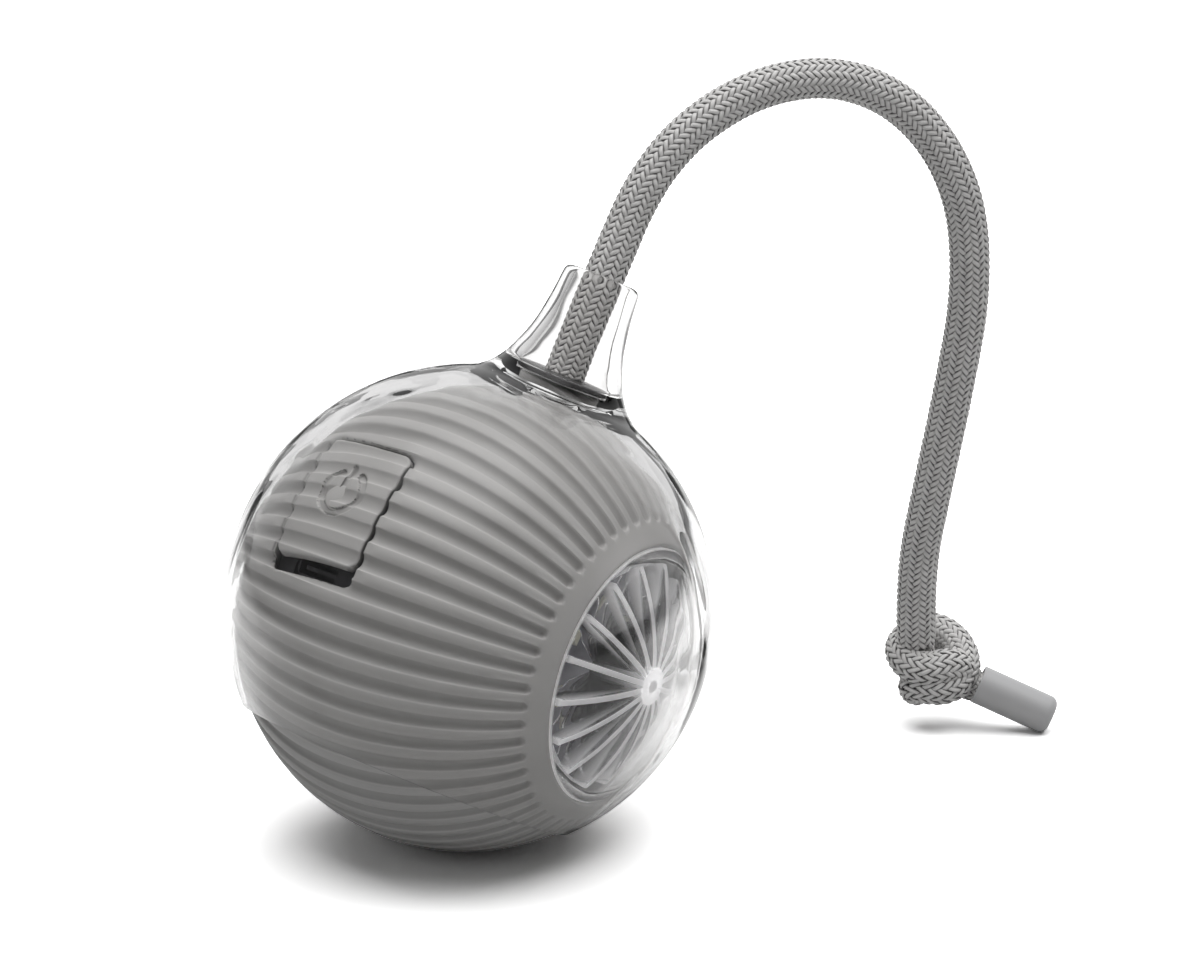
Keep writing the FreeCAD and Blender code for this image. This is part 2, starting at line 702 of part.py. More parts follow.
# Lamp at each pole: bulkhead, board, lamps, fluted lens, clear dome and its seal.
# The dome's flange is held from inside the housing, its skirt comes out through
# the pole hole.
lens_gap = cell("lens_gap", 0.7, "between the fins and the inside of the dome")
lens_rim_high = cell("lens_rim_high", 5.0, "height of the lens's rim over the lamp board")
lens_rise = cell("lens_rise", 3.2, "inner edges of the fins over the lamp board")
lens_rim_wall = cell("lens_rim_wall", 1.4, "rim of the lens")
led_thick = cell("led_thick", 1.1, "height of a lamp")
board_outer = bulkhead_outer + board_thick
lens_envelope = dome_radius - dome_wall - lens_gap
lens_rim_top = board_outer + lens_rim_high
lens_floor = board_outer + lens_rise


def dome(label, frame):
    body = new_body(label)
    inner = dome_radius - dome_wall
    sketch = outline(body, "XY_Plane", [
        (dome_radius, 0, "y", dome_radius),
        (side(dome_radius, skirt_radius), skirt_radius, "y", None),
        (flange_face, skirt_radius, "xy", None),
        (flange_face, flange_radius, "xy", None),
        (bulkhead_outer, flange_radius, "xy", None),
        (bulkhead_outer, skirt_inner, "xy", None),
        (side(inner, skirt_inner), skirt_inner, "y", inner),
        (inner, 0, "y", None),
    ])
    revolved(body, sketch)
    keep(body, label, frame)


def lens(label, frame):
    """Rim, hub and thin radial fins, cut to the sphere under the dome."""
    rim = ring(lens_radius, lens_radius - lens_rim_wall, lens_rim_top - board_outer, board_outer)
    hub = cylinder(lens_hub, lens_envelope - lens_floor, lens_floor)
    things = [hub]
    for i in range(int(fin_count.value)):
        fin = bind(
            doc.addObject("Part::Box", "Fin"),
            Length=lens_envelope - lens_floor, Width=fin_thick, Height=lens_radius - 0.4)
        arm = cell_free_turn(fin, i * 360 / fin_count.value + lens_turn.value)
        things.append(arm)
    inside = common(fused(things), ball(lens_envelope))
    keep(fused([rim, inside]), label, frame)


def cell_free_turn(fin, degrees):
    """Stand a fin on the pole axis, turned about it."""
    turn = FreeCAD.Rotation(V(1, 0, 0), degrees)
    offset = V(lens_floor.value, -fin_thick.value / 2, 0)
    fin.Placement = FreeCAD.Placement(turn.multVec(offset), turn)
    return fin


def leds(label, frame, first):
    things = []
    for i in range(int(led_count.value)):
        lamp = bind(doc.addObject("Part::Box", "Lamp"), Length=led_thick, Width=led_width, Height=led_width)
        turn = FreeCAD.Rotation(V(1, 0, 0), first + i * 360 / led_count.value)
        offset = V(board_outer.value, -led_width.value / 2, led_circle.value - led_width.value / 2)
        lamp.Placement = FreeCAD.Placement(turn.multVec(offset), turn)
        things.append(lamp)
    keep(fused(things), label, frame)


for hand, frame in (("right", ball_frame), ("left", left_frame)):
    dome("dome_" + hand, frame)
    keep(ring(flange_radius - 0.2, seat_radius, seal_thick, flange_face), "dome_seal_" + hand, frame)
    lens("lens_" + hand, frame)
    turned_pin("led_board_" + hand, led_board_radius, board_thick, 0.1, frame, bulkhead_outer)
    leds("leds_" + hand, frame, 8)
    turned_pin("bulkhead_" + hand, bulkhead_radius, bulkhead_thick, 0.2, frame, bulkhead_outer - bulkhead_thick)

# Drive: motor, two gear pairs, shaft and the weight that swings about the pole
# axis. The motor and gears sit on a frame that is screwed into the right half.
cluster_offset = gear_module * (cluster_small + output_teeth) / 2 + mesh_play
motor_span = gear_module * (pinion_teeth + cluster_teeth) / 2 + mesh_play
cosine = (
    motor_offset.value ** 2 + cluster_offset.value ** 2 - motor_span.value ** 2
) / (2 * motor_offset.value * cluster_offset.value)
cluster_turn = motor_turn.value + math.degrees(math.acos(cosine))
first_plane = frame_back + gear_gap
second_plane = first_plane + gear_width + gear_gap
bulkhead_inner = bulkhead_outer - bulkhead_thick
motor_y, motor_z = polar(1, motor_turn.value)
cluster_y, cluster_z = polar(1, cluster_turn)
weight_left = swing_middle - swing_thick / 2
weight_right = swing_middle + swing_thick / 2
ear_radius = cell("ear_radius", 2.5, "ears of the gear frame and the tray")
plate_radius = cell("plate_radius", 25.2, "gear frame and tray plates")
motor_boss = cell("motor_boss", 3.1, "boss on the front of the motor")
motor_shaft_radius = cell("motor_shaft_radius", 1.0, "motor shaft")
motor_screw_place = cell("motor_screw_place", 5.0, "motor screws from the motor's axis")
pin_radius = cell("pin_radius", 1.0, "pin that carries the gear cluster")
small_head = cell("small_head", 1.5, "heads of the small screws")
small_head_high = cell("small_head_high", 0.9, "height of those heads")
bush_wall = cell("bush_wall", 0.6, "gear frame round its bush")
bush_wall_left = cell("bush_wall_left", 1.4, "battery tray round its bush")


def plate(face, thick, ears, extra):
    """A round plate with ears and what stands on it."""
    round_ears = holes(ears, ear_circle, ear_radius, face, thick)
    return fused([cylinder(plate_radius, thick, face)] + round_ears + extra)


frame_pillars = [0, 120, 240]
gear_frame = plate(frame_face, frame_thick, ear_places,
    holes(frame_pillars, pillar_circle, pillar_radius, frame_back, bulkhead_inner - frame_back)
    + [cylinder(bush_radius + bush_wall, bush_length, frame_back - bush_length)])
motor_holes = [
    cylinder(
        motor_boss + boss_fit, frame_thick + 2, frame_face - 1,
        motor_offset * motor_y, motor_offset * motor_z),
    cylinder(
        pin_radius + press_fit, frame_thick + 2, frame_face - 1,
        cluster_offset * cluster_y, cluster_offset * cluster_z),
    cylinder(bush_radius, bush_length + 2, frame_back - bush_length - 1),
]
motor_screw_spots = []
for reach in (motor_offset - motor_screw_place, motor_offset + motor_screw_place):
    motor_screw_spots.append((reach * motor_y, reach * motor_z))
for y, z in motor_screw_spots:
    motor_holes.append(cylinder(small_screw + hole_fit, frame_thick + 2, frame_face - 1, y, z))
    motor_holes.append(cylinder(small_head + hole_fit, small_head_high + 1, frame_back - small_head_high, y, z))
frame_holes = holes(ear_places, ear_circle, small_screw + hole_fit, frame_face - 1, frame_thick + 2)
keep(cut(gear_frame, motor_holes + frame_holes), "gear_frame", ball_frame)


def ear_screws(places, face, depth):
    """Screws through the ears, their heads on the side of the ball's middle."""
    return (
        holes(places, ear_circle, small_screw, face, depth)
        + holes(places, ear_circle, small_head, face - small_head_high, small_head_high))


keep(
    fused(ear_screws(ear_places, frame_face, frame_thick + post_depth - screw_short)),
    "frame_screws", ball_frame)
screws = []
for y, z in motor_screw_spots:
    screws.append(cylinder(small_screw, frame_thick + 1.6, frame_face - 1.6, y, z))
    screws.append(cylinder(small_head, small_head_high, frame_back - small_head_high, y, z))
keep(fused(screws), "motor_screws", ball_frame)

motor_start = frame_face - motor_length
can = fused([
    cylinder(motor_radius, motor_length, motor_start, motor_offset * motor_y, motor_offset * motor_z),
    cylinder(motor_boss, frame_thick - 0.2 + 1, frame_face - 1, motor_offset * motor_y, motor_offset * motor_z),
    cylinder(motor_boss, Size(1.2, "1.2"), motor_start - 1.2, motor_offset * motor_y, motor_offset * motor_z),
])
can_holes = [cylinder(
    motor_shaft_radius + shaft_fit, Size(20, "20"), frame_face - 8,
    motor_offset * motor_y, motor_offset * motor_z)]
for y, z in motor_screw_spots:
    can_holes.append(cylinder(small_screw + thread_fit, Size(4, "4"), frame_face - 2, y, z))
keep(cut(can, can_holes), "drive_motor", ball_frame)


def gear(teeth, width, bore, x, y, z, turn):
    """A spur gear: each flank is a short line of points on its involute."""
    count = int(teeth.value)
    module = gear_module.value
    pitch = module * count / 2
    base = pitch * math.cos(math.radians(20))
    tip = pitch + module * 0.95
    root = pitch - module * 1.25
    radii = [root, max(base, root + 0.05), pitch, tip]
    points = []
    for i in range(count):
        middle = 2 * math.pi * i / count
        for reach in radii:
            points.append((reach, middle - half_tooth(reach, pitch, base, count)))
        for reach in reversed(radii):
            points.append((reach, middle + half_tooth(reach, pitch, base, count)))
    turn = math.radians(turn)
    flat = [V(x, y - r * math.sin(a + turn), z + r * math.cos(a + turn)) for r, a in points]
    shape = Part.Face(Part.makePolygon(flat + flat[:1])).extrude(V(width, 0, 0))
    return shape.cut(Part.makeCylinder(bore, width + 2, V(x - 1, y, z), V(1, 0, 0)))


def half_tooth(reach, pitch, base, count):
    """Half the angle that a tooth spans at this radius."""
    play = mesh_play.value / 2 / (2 * pitch)
    slope = math.acos(min(1, base / reach))
    rise = math.radians(20)
    curve = (math.tan(rise) - rise) - (math.tan(slope) - slope)
    return math.pi / (2 * count) + curve - play


gear_bore = (shaft_radius + press_fit).value
toward_motor = math.degrees(math.atan2(
    -(motor_offset.value * motor_y - cluster_offset.value * cluster_y),
    motor_offset.value * motor_z - cluster_offset.value * cluster_z))
half_gap = 180 / output_teeth.value
shape_of("output_gear", gear(
    output_teeth, gear_width.value, gear_bore, second_plane.value, 0, 0,
    cluster_turn + half_gap), ball_frame)
cy, cz = cluster_offset.value * cluster_y, cluster_offset.value * cluster_z
my, mz = motor_offset.value * motor_y, motor_offset.value * motor_z
large = gear(
    cluster_teeth, gear_width.value, pin_radius.value + shaft_fit.value, first_plane.value, cy, cz,
    toward_motor + 180 / cluster_teeth.value)
small = gear(
    cluster_small, gear_width.value + gear_gap.value, pin_radius.value + shaft_fit.value,
    second_plane.value - gear_gap.value, cy, cz, cluster_turn + 180)
shape_of("cluster_gear", large.fuse(small).Solids[0], ball_frame)
shape_of("motor_pinion", gear(
    pinion_teeth, gear_width.value, motor_shaft_radius.value + press_fit.value, first_plane.value, my, mz,
    toward_motor + 180), ball_frame)
turned_pin(
    "motor_shaft", motor_shaft_radius, first_plane + gear_width - frame_face + 7, 0.2,
    ball_frame, frame_face - 7, my, mz)
turned_pin(
    "cluster_pin", pin_radius, bulkhead_inner - frame_face, 0.2,
    ball_frame, frame_face, cy, cz)

# Swing weight on the output shaft, between the gear frame and the tray
weight_frame = turned(ball_frame, down_turn - 180)
sector = bind(cylinder(swing_radius, swing_thick, weight_left), Angle=swing_angle)
sector.Placement = FreeCAD.Placement(
    V(weight_left.value, 0, 0),
    FreeCAD.Rotation(V(1, 0, 0), -swing_angle.value / 2) * FreeCAD.Rotation(V(0, 1, 0), 90))
sector.setExpression("Placement.Base.x", weight_left.text)
weight_hub = cell("weight_hub", 6.0, "hub of the swing weight")
weight = cut(
    fused([sector, cylinder(weight_hub, swing_thick, weight_left)]),
    [cylinder(shaft_radius + press_fit, swing_thick + 2, weight_left - 1)])
keep(weight, "swing_weight", weight_frame)
shaft_left = -tray_face
turned_pin(
    "output_shaft", shaft_radius, second_plane + gear_width - shaft_left, 0.3, weight_frame, shaft_left)
ring_thick = cell("ring_thick", 0.5, "retaining rings on the shaft")
ring_outer = cell("ring_outer", 3.0, "retaining rings on the shaft")
keep(
    fused([
        ring(ring_outer, shaft_radius + press_fit, ring_thick, weight_left - ring_thick),
        ring(ring_outer, shaft_radius + press_fit, ring_thick, weight_right),
    ]), "retaining_rings", weight_frame)
bush_bore = shaft_radius + shaft_fit
keep(ring(bush_radius, bush_bore, bush_length, frame_back - bush_length), "bush_right", ball_frame)
keep(ring(bush_radius, bush_bore, bush_length, tray_face - bush_length), "bush_left", left_frame)

# Battery side: a tray screwed into the left half, the cell under its clamp, and
# the main board
clamp_wall = cell("clamp_wall", 1.0, "battery clamp")
clamp_width = cell("clamp_width", 16.0, "width of the battery clamp")
clamp_fit = cell("clamp_fit", 0.3, "between battery and clamp")
main_board_fit = cell("main_board_fit", 0.4, "between the main board and the pillars")
main_board_radius = pillar_circle - pillar_radius - main_board_fit
cell_play = cell("cell_play", 0.2, "over and under the battery cell")
cell_round = cell("cell_round", 1.5, "rounding of the battery cell")
left_ears = [-a for a in tray_places]
left_pillars = [-a for a in (72, 162, 252, 342)]
tray_back = tray_face - tray_thick
tray = plate(tray_back, tray_thick, left_ears,
    holes(left_pillars, pillar_circle, pillar_radius, tray_face, bulkhead_inner - tray_face)
    + [cylinder(bush_radius + bush_wall_left, bush_length, tray_face - bush_length)])
keep(
    cut(tray, [cylinder(bush_radius, bush_length + 2, tray_face - bush_length - 1)]
        + holes(left_ears, ear_circle, small_screw + hole_fit, tray_back - 1, tray_thick + 2)),
    "battery_tray", left_frame)
keep(
    fused(ear_screws(left_ears, tray_back, tray_thick + post_depth - screw_short)),
    "tray_screws", left_frame)
bay_turn = FreeCAD.Placement(V(0, 0, 0), FreeCAD.Rotation(V(1, 0, 0), -tray_places[0]))
bay_frame = left_frame * bay_turn


def along(length, width, height, x, y, z):
    """A box that runs along X from x, with its middle at y, z."""
    thing = bind(doc.addObject("Part::Box", "Block"), Length=length, Width=width, Height=height)
    return place(thing, x, y - width / 2, z - height / 2)


cell_start = tray_face + cell_play
cell_end = cell_start + battery_thick
zero = Size(0, "0")
keep(
    rounded(
        along(battery_thick, battery_width, battery_length, cell_start, zero, zero), cell_round,
        lambda edge: edge.Length > 20),
    "battery_cell", bay_frame)
clamp_outer = along(
    battery_thick + cell_play * 2 + clamp_wall, battery_width + (clamp_fit + clamp_wall) * 2, clamp_width,
    tray_face, zero, zero)
clamp_inner = along(
    battery_thick + cell_play * 2, battery_width + clamp_fit * 2, clamp_width + 2, tray_face, zero, zero)
keep(cut(clamp_outer, [clamp_inner]), "battery_clamp", bay_frame)
board_seat = tray_face + battery_thick + cell_play * 2 + clamp_wall
chips = [
    along(Size(1.2, "1.2"), Size(7, "7"), Size(7, "7"), board_seat + board_thick, zero, zero),
    along(Size(1.6, "1.6"), Size(4, "4"), Size(6, "6"), board_seat + board_thick, Size(9, "9"), zero + 6),
    along(Size(1.0, "1.0"), Size(5, "5"), Size(4, "4"), board_seat + board_thick, zero - 8, zero - 8),
]
keep(fused([cylinder(main_board_radius, board_thick, board_seat)] + chips), "main_board", bay_frame)

# Switch and socket boards under the button panel
button_board_x = cell("button_board_x", 15.2, "button board along the pole axis")
button_board_y = cell("button_board_y", 12.0, "button board across it")
button_board_up = cell("button_board_up", 1.6, "middle of the button board above the stem")
charge_board_x = cell("charge_board_x", 16.4, "charging board along the pole axis")
charge_board_y = cell("charge_board_y", 6.0, "charging board across it")
switch_side = cell("switch_side", 6.0, "side of the switch")
switch_high = cell("switch_high", 3.4, "height of the switch body")
plunger_radius = cell("plunger_radius", 1.7, "plunger of the switch")
socket_frame = turned(button_frame, socket_turn.value)
button_holes = [
    upright(small_screw + hole_fit, board_thick + 2, x, y, button_board - 1) for x, y in board_posts]
button_plate = block(
    button_board_x, button_board_y, board_thick, stem_x, stem_y + button_board_up, button_board)
keep(cut(button_plate, button_holes), "button_board", button_frame)
charge_holes = [
    upright(small_screw + hole_fit, board_thick + 2, x, y, charge_board - 1) for x, y in charge_posts]
keep(
    cut(block(charge_board_x, charge_board_y, board_thick, stem_x, zero, charge_board), charge_holes),
    "charge_board", socket_frame)
keep(
    cut(block(switch_side, switch_side, switch_high, stem_x, stem_y, board_top),
        [upright(plunger_radius + 0.05, switch_high, stem_x, stem_y, board_top + 0.8)]),
    "tact_switch", button_frame)
plunger_foot = board_top + 1.6
upward = FreeCAD.Placement(V(0, 0, 0), FreeCAD.Rotation(V(0, 1, 0), -90))
plunger_place = FreeCAD.Placement(V(stem_x.value, stem_y.value, plunger_foot.value), FreeCAD.Rotation())
turned_pin(
    "switch_plunger", plunger_radius, stem_end - plunger_foot, 0.2, button_frame * plunger_place * upward, 0)
socket_wall = cell("socket_wall", 0.4, "shell of the charging socket")
socket_high = socket_end - charge_top
shell = block(socket_width, socket_height, socket_high, stem_x, zero, charge_top)
shell = rounded(shell, 1.3, lambda edge: abs(edge.BoundBox.ZLength - socket_high.value) < 0.001)
hollow = block(
    socket_width - socket_wall * 2, socket_height - socket_wall * 2, socket_high, stem_x, zero, charge_top + 1)
tongue = block(Size(6.4, "6.4"), Size(0.7, "0.7"), socket_high - 1, stem_x, zero, charge_top + 0.5)
keep(fused([cut(shell, [hollow]), tongue]), "charge_socket", socket_frame)


def board_screws(posts, frame, board):
    things = []
    for x, y in posts:
        things.append(upright(small_screw, board_thick + 1.8, x, y, board))
        things.append(upright(small_head, small_head_high, x, y, board - small_head_high))
    return group(things, frame)


keep(
    fused([
        board_screws(board_posts, FreeCAD.Placement(), button_board),
        board_screws(charge_posts, turned(FreeCAD.Placement(), socket_turn.value), charge_board),
    ]), "board_screws", button_frame)

# Clear cover: a soft shell turned about the neck. Its outside is a sphere with
# the neck flaring out of it; its inside is a sphere about the ball's middle, so
# the wall thins towards the mouth. The bore of the neck has a groove for the disc.


def polar_point(radius, degrees, drop=0):
    angle = math.radians(degrees)
    return V(radius * math.sin(angle), 0, radius * math.cos(angle) - drop)


def neck_place(radius, widening, rise):
    """A point of the neck's profile, above the cover's sphere."""
    return V(radius + widening.value, 0, cover_radius.value + rise.value)


outer = cover_radius.value
inner = cover_inner.value
drop = cover_rise.value
lip_out = polar_point(outer, 180 - mouth_angle.value)
lip_way = lip_out - V(0, 0, -drop)
lip_in = V(0, 0, -drop) + lip_way.normalize() * inner
flare = polar_point(outer, flare_angle.value)
flare_way = V(-math.cos(math.radians(flare_angle.value)), 0, math.sin(math.radians(flare_angle.value)))
top = neck_height.value
rim = rim_round.value
neck_r = neck_top_radius.value
bore_r = bore_top_radius.value
disc_foot = disc_height.value
disc_top = disc_foot + disc_thick.value
groove_r = disc_radius.value + disc_fit.value
throat = (disc_radius - throat_step).value
bore_low = (disc_radius - bore_step).value
play = disc_play.value
throat_z = math.sqrt(inner ** 2 - throat ** 2) - drop
neck_line = Part.BSplineCurve()
neck_line.interpolate(
    Points=[
        flare, neck_place(neck_r, neck_low_widening, neck_low_rise),
        neck_place(neck_r, neck_mid_widening, neck_mid_rise), V(neck_r, 0, top - rim),
    ],
    InitialTangent=flare_way * 6, FinalTangent=V(-0.1, 0, 1) * 6)
bore_line = Part.BSplineCurve()
bore_line.interpolate(
    Points=[
        V(bore_r, 0, top - rim * 0.6), neck_place(bore_r, bore_mid_widening, bore_mid_rise),
        neck_place(bore_r, bore_low_widening, bore_low_rise), V(bore_low, 0, disc_top + 4 * play),
    ])
rim_in = neck_r - rim
small_round = rim * 0.6
corner = math.sqrt(0.5)
points = [
    V(bore_low, 0, disc_top + play), V(groove_r, 0, disc_top + play), V(groove_r, 0, disc_foot - play),
    V(throat, 0, disc_foot - play), V(throat, 0, throat_z),
]
edges = [
    Part.Arc(lip_out, polar_point(outer, (180 - mouth_angle.value + flare_angle.value) / 2), flare).toShape(),
    neck_line.toShape(),
    Part.Arc(
        V(neck_r, 0, top - rim), V(rim_in + rim * corner, 0, top - rim + rim * corner), V(rim_in, 0, top)).toShape(),
    Part.makeLine(V(rim_in, 0, top), V(bore_r + small_round, 0, top)),
    Part.Arc(
        V(bore_r + small_round, 0, top),
        V(bore_r + small_round * (1 - corner), 0, top - small_round * (1 - corner)),
        V(bore_r, 0, top - small_round)).toShape(),
    bore_line.toShape(),
    Part.makeLine(V(bore_low, 0, disc_top + 4 * play), points[0]),
]
for start, end in zip(points, points[1:]):
    edges.append(Part.makeLine(start, end))
throat_angle = math.degrees(math.asin(throat / inner))
lip_angle = math.degrees(math.atan2(lip_in.x, lip_in.z + drop))
edges.append(Part.Arc(
    points[-1], polar_point(inner, (throat_angle + lip_angle) / 2, drop), lip_in).toShape())
edges.append(Part.makeLine(lip_in, lip_out))
profile = Part.Face(Part.Wire(Part.__sortEdges__(edges)))
shape_of("cover_shell", profile.revolve(V(0, 0, 0), V(0, 0, 1), 360), cover_frame)
turned_pin("rope_anchor_disc", disc_radius, disc_thick, 0.2, cover_frame * upward, disc_height)

# Rope: it rises from the disc along the neck, arches over to the right and comes
# down to its knot near the floor. The first two points lie
# on the neck's axis, the others are chosen along the rope.
rope_points = [
    cover_frame.multVec(V(0, 0, disc_top)),
    cover_frame.multVec(V(0, 0, (neck_height - rope_straight).value)),
    V(31.5, 23.7, 114.2),
    V(46.6, 30.3, 124.8),
    V(62.8, 35.1, 126.7),
    V(76.5, 38.1, 119.6),
    V(85.6, 39.6, 104.9),
    V(87.3, 41.9, 86.1),
    V(84.5, 44.9, 66.2),
    V(81.2, 48.1, 47.0),
    V(78.6, 52.1, 30.2),
    V(79.2, 55.0, 16.3),
]


def cord_wire(points):
    """Straight runs joined by arcs, each arc as large as its shorter run allows."""
    edges = []
    radii = []
    start = points[0]
    for i in range(1, len(points) - 1):
        before = points[i - 1] - points[i]
        after = points[i + 1] - points[i]
        turn = math.pi - before.getAngle(after)
        trim = 0.45 * min(before.Length, after.Length)
        radii.append(round(trim / math.tan(turn / 2), 1))
        first = points[i] + V(before).normalize() * trim
        last = points[i] + V(after).normalize() * trim
        inward = (V(before).normalize() + V(after).normalize()).normalize()
        radius = trim / math.tan(turn / 2)
        middle = points[i] + inward * (radius / math.cos(turn / 2) - radius)
        edges.append(Part.makeLine(start, first))
        edges.append(Part.Arc(first, middle, last).toShape())
        start = last
    edges.append(Part.makeLine(start, points[-1]))
    return Part.Wire(edges), radii


route, bends = cord_wire(rope_points)
section = Part.Wire(Part.makeCircle(rope_radius.value, rope_points[0], rope_points[1] - rope_points[0]))
tube = route.makePipeShell([section], True, False)
shape_of("rope", tube, FreeCAD.Placement())
print("bend radii of the rope", bends)
print("rope length %.1f, tube volume %.0f, section times length %.0f" % (
    route.Length, tube.Volume, math.pi * rope_radius.value ** 2 * route.Length))

# Knot: two plump turns of the rope, one over the other, with the rope's end
# coming in from above and its tail going out into the end sleeve
knot_upper = V(81.2, 56.5, 14.5)
knot_lower = V(84.1, 54.9, 9.7)
knot_wide = cell("knot_wide", 6.6, "half the width of a turn of the knot")
knot_high = cell("knot_high", 4.2, "half the height of a turn of the knot")
sleeve_foot = V(90.4, 53.3, 8.52)
sleeve_way = V(12.5, -1.6, -5.4).normalize()


def knot_turn(middle, tip_back, tip_side):
    """A plump turn: a disc whose rim is fully round, tipped into its place."""
    wide = knot_wide.value
    high = knot_high.value
    flat = wide - high
    edges = [
        Part.makeLine(V(0, 0, -high), V(flat, 0, -high)),
        Part.Arc(V(flat, 0, -high), V(wide, 0, 0), V(flat, 0, high)).toShape(),
        Part.makeLine(V(flat, 0, high), V(0, 0, high)),
        Part.makeLine(V(0, 0, high), V(0, 0, -high)),
    ]
    shape = Part.Face(Part.Wire(edges)).revolve(V(0, 0, 0), V(0, 0, 1), 360)
    turn = FreeCAD.Rotation(V(1, 0, 0), tip_back) * FreeCAD.Rotation(V(0, 1, 0), tip_side)
    shape.Placement = FreeCAD.Placement(middle, turn * FreeCAD.Rotation(V(0, 0, 1), 90))
    return shape


rope_end = rope_points[-1]
rope_way = (rope_points[-1] - rope_points[-2]).normalize()
stub = Part.makeCylinder(rope_radius.value, (knot_upper - rope_end).Length, rope_end, rope_way)
tail_start = knot_lower + (sleeve_foot - knot_lower) * 0.35
tail = Part.makeCylinder(
    tail_radius.value, (sleeve_foot - tail_start).Length, tail_start, sleeve_foot - tail_start)
plug = Part.makeCylinder(tail_radius.value, sleeve_bore.value - 1, sleeve_foot - sleeve_way, sleeve_way)
joint = Part.makeSphere(tail_radius.value + 0.02, sleeve_foot)
knot = knot_turn(knot_upper, -18, 14).fuse([knot_turn(knot_lower, -18, -24), stub, tail, plug, joint])
shape_of("rope_knot", knot.Solids[0], FreeCAD.Placement())

# End sleeve: closed at its rounded end, pushed over the rope's tail
sleeve_outside = rounded(
    upright(sleeve_radius, sleeve_length, zero, zero, zero), sleeve_radius * 0.5,
    lambda edge: edge.BoundBox.ZMin > 1 and edge.BoundBox.ZLength < 0.01)
sleeve = cut(sleeve_outside, [upright(sleeve_radius - sleeve_wall, sleeve_bore + 1, zero, zero, zero - 1)])
sleeve_frame = FreeCAD.Placement(sleeve_foot, FreeCAD.Rotation(V(0, 0, 1), sleeve_way))
keep(sleeve, "rope_end_sleeve", sleeve_frame)

doc.recompute()
faults = []
for thing in doc.Objects:
    if "Invalid" in thing.State or "Error" in thing.State:
        faults.append(thing.Name)
for thing in pieces:
    if thing.Shape.isNull() or not thing.Shape.isValid() or not thing.Shape.Solids:
        faults.append(thing.Label)
if faults:
    raise RuntimeError("faults in " + ", ".join(faults))
os.makedirs("parts", exist_ok=True)
for thing in pieces:
    thing.Shape.exportStep("parts/" + thing.Label + ".step")
print(len(pieces), "parts written")
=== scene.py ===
import bpy
import json
import math
from bisect import bisect_right
from mathutils import Matrix, Vector

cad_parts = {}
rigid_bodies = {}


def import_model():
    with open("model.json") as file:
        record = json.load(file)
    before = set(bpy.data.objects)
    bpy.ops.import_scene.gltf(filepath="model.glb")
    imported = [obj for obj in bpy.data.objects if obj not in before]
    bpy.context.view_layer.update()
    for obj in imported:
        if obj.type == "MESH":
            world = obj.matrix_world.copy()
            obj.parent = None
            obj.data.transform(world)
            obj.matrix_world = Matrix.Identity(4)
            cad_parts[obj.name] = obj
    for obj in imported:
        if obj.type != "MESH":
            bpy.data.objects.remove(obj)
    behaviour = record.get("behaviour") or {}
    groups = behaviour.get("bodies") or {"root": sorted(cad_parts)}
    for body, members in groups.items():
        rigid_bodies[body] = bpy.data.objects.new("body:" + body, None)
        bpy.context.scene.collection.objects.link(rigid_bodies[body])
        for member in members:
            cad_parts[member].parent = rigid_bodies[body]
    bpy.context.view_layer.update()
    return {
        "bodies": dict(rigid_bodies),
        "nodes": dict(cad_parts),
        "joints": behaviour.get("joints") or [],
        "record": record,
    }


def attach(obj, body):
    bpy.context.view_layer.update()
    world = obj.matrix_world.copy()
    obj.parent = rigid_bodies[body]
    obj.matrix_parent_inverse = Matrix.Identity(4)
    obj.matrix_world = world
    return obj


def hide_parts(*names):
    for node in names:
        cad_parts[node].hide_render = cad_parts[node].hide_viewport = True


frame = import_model()
bpy.ops.object.select_all(action="DESELECT")
scene = bpy.context.scene

# Camera. The toy is seen from a little above, from its front, through a long
# lens about a metre away, with the whole of it well inside the picture.
camera_height = math.radians(18)
camera_place = Vector((0.02228, -1.03936, 0.40216))
camera_data = bpy.data.cameras.new("camera")
camera_data.lens = 193.3
camera_data.sensor_width = 36
camera = bpy.data.objects.new("camera", camera_data)
camera.location = camera_place
camera.rotation_euler = (math.pi / 2 - camera_height, 0, 0)
scene.collection.objects.link(camera)
scene.camera = camera

# Rope. A light grey braid of sixteen strands each way over a dark core, tied to
# the disc in the neck. The core's near-black colour is painted shade that shows in
# the gaps between strands. It rises along the neck, arches over to the right and
# comes down to its knot just above the floor.
rope_route = [
    (0.01560, 0.01192, 0.07798), (0.0221, 0.0169, 0.0933), (0.0315, 0.0237, 0.1142),
    (0.0466, 0.0303, 0.1248), (0.0628, 0.0351, 0.1267), (0.0765, 0.0381, 0.1196),
    (0.0856, 0.0396, 0.1049), (0.0873, 0.0419, 0.0861), (0.0845, 0.0449, 0.0662),
    (0.0812, 0.0481, 0.0470), (0.0786, 0.0521, 0.0302), (0.0792, 0.0550, 0.0163),
]
rope_diameter = 0.0072
rope_step = 0.00041
rope_core_step = 0.0015
strands_each_way = 16
strand_pitch = 0.0205
strand_share = 0.78
strand_flatness = 1.35
# Where a strand lies, how far it goes over and under and how thick it is, and
# how thick the core is, all as shares of the rope's radius.
strand_middle = 0.85
strand_lift = 0.078
strand_rise = 0.07
core_share = 0.8


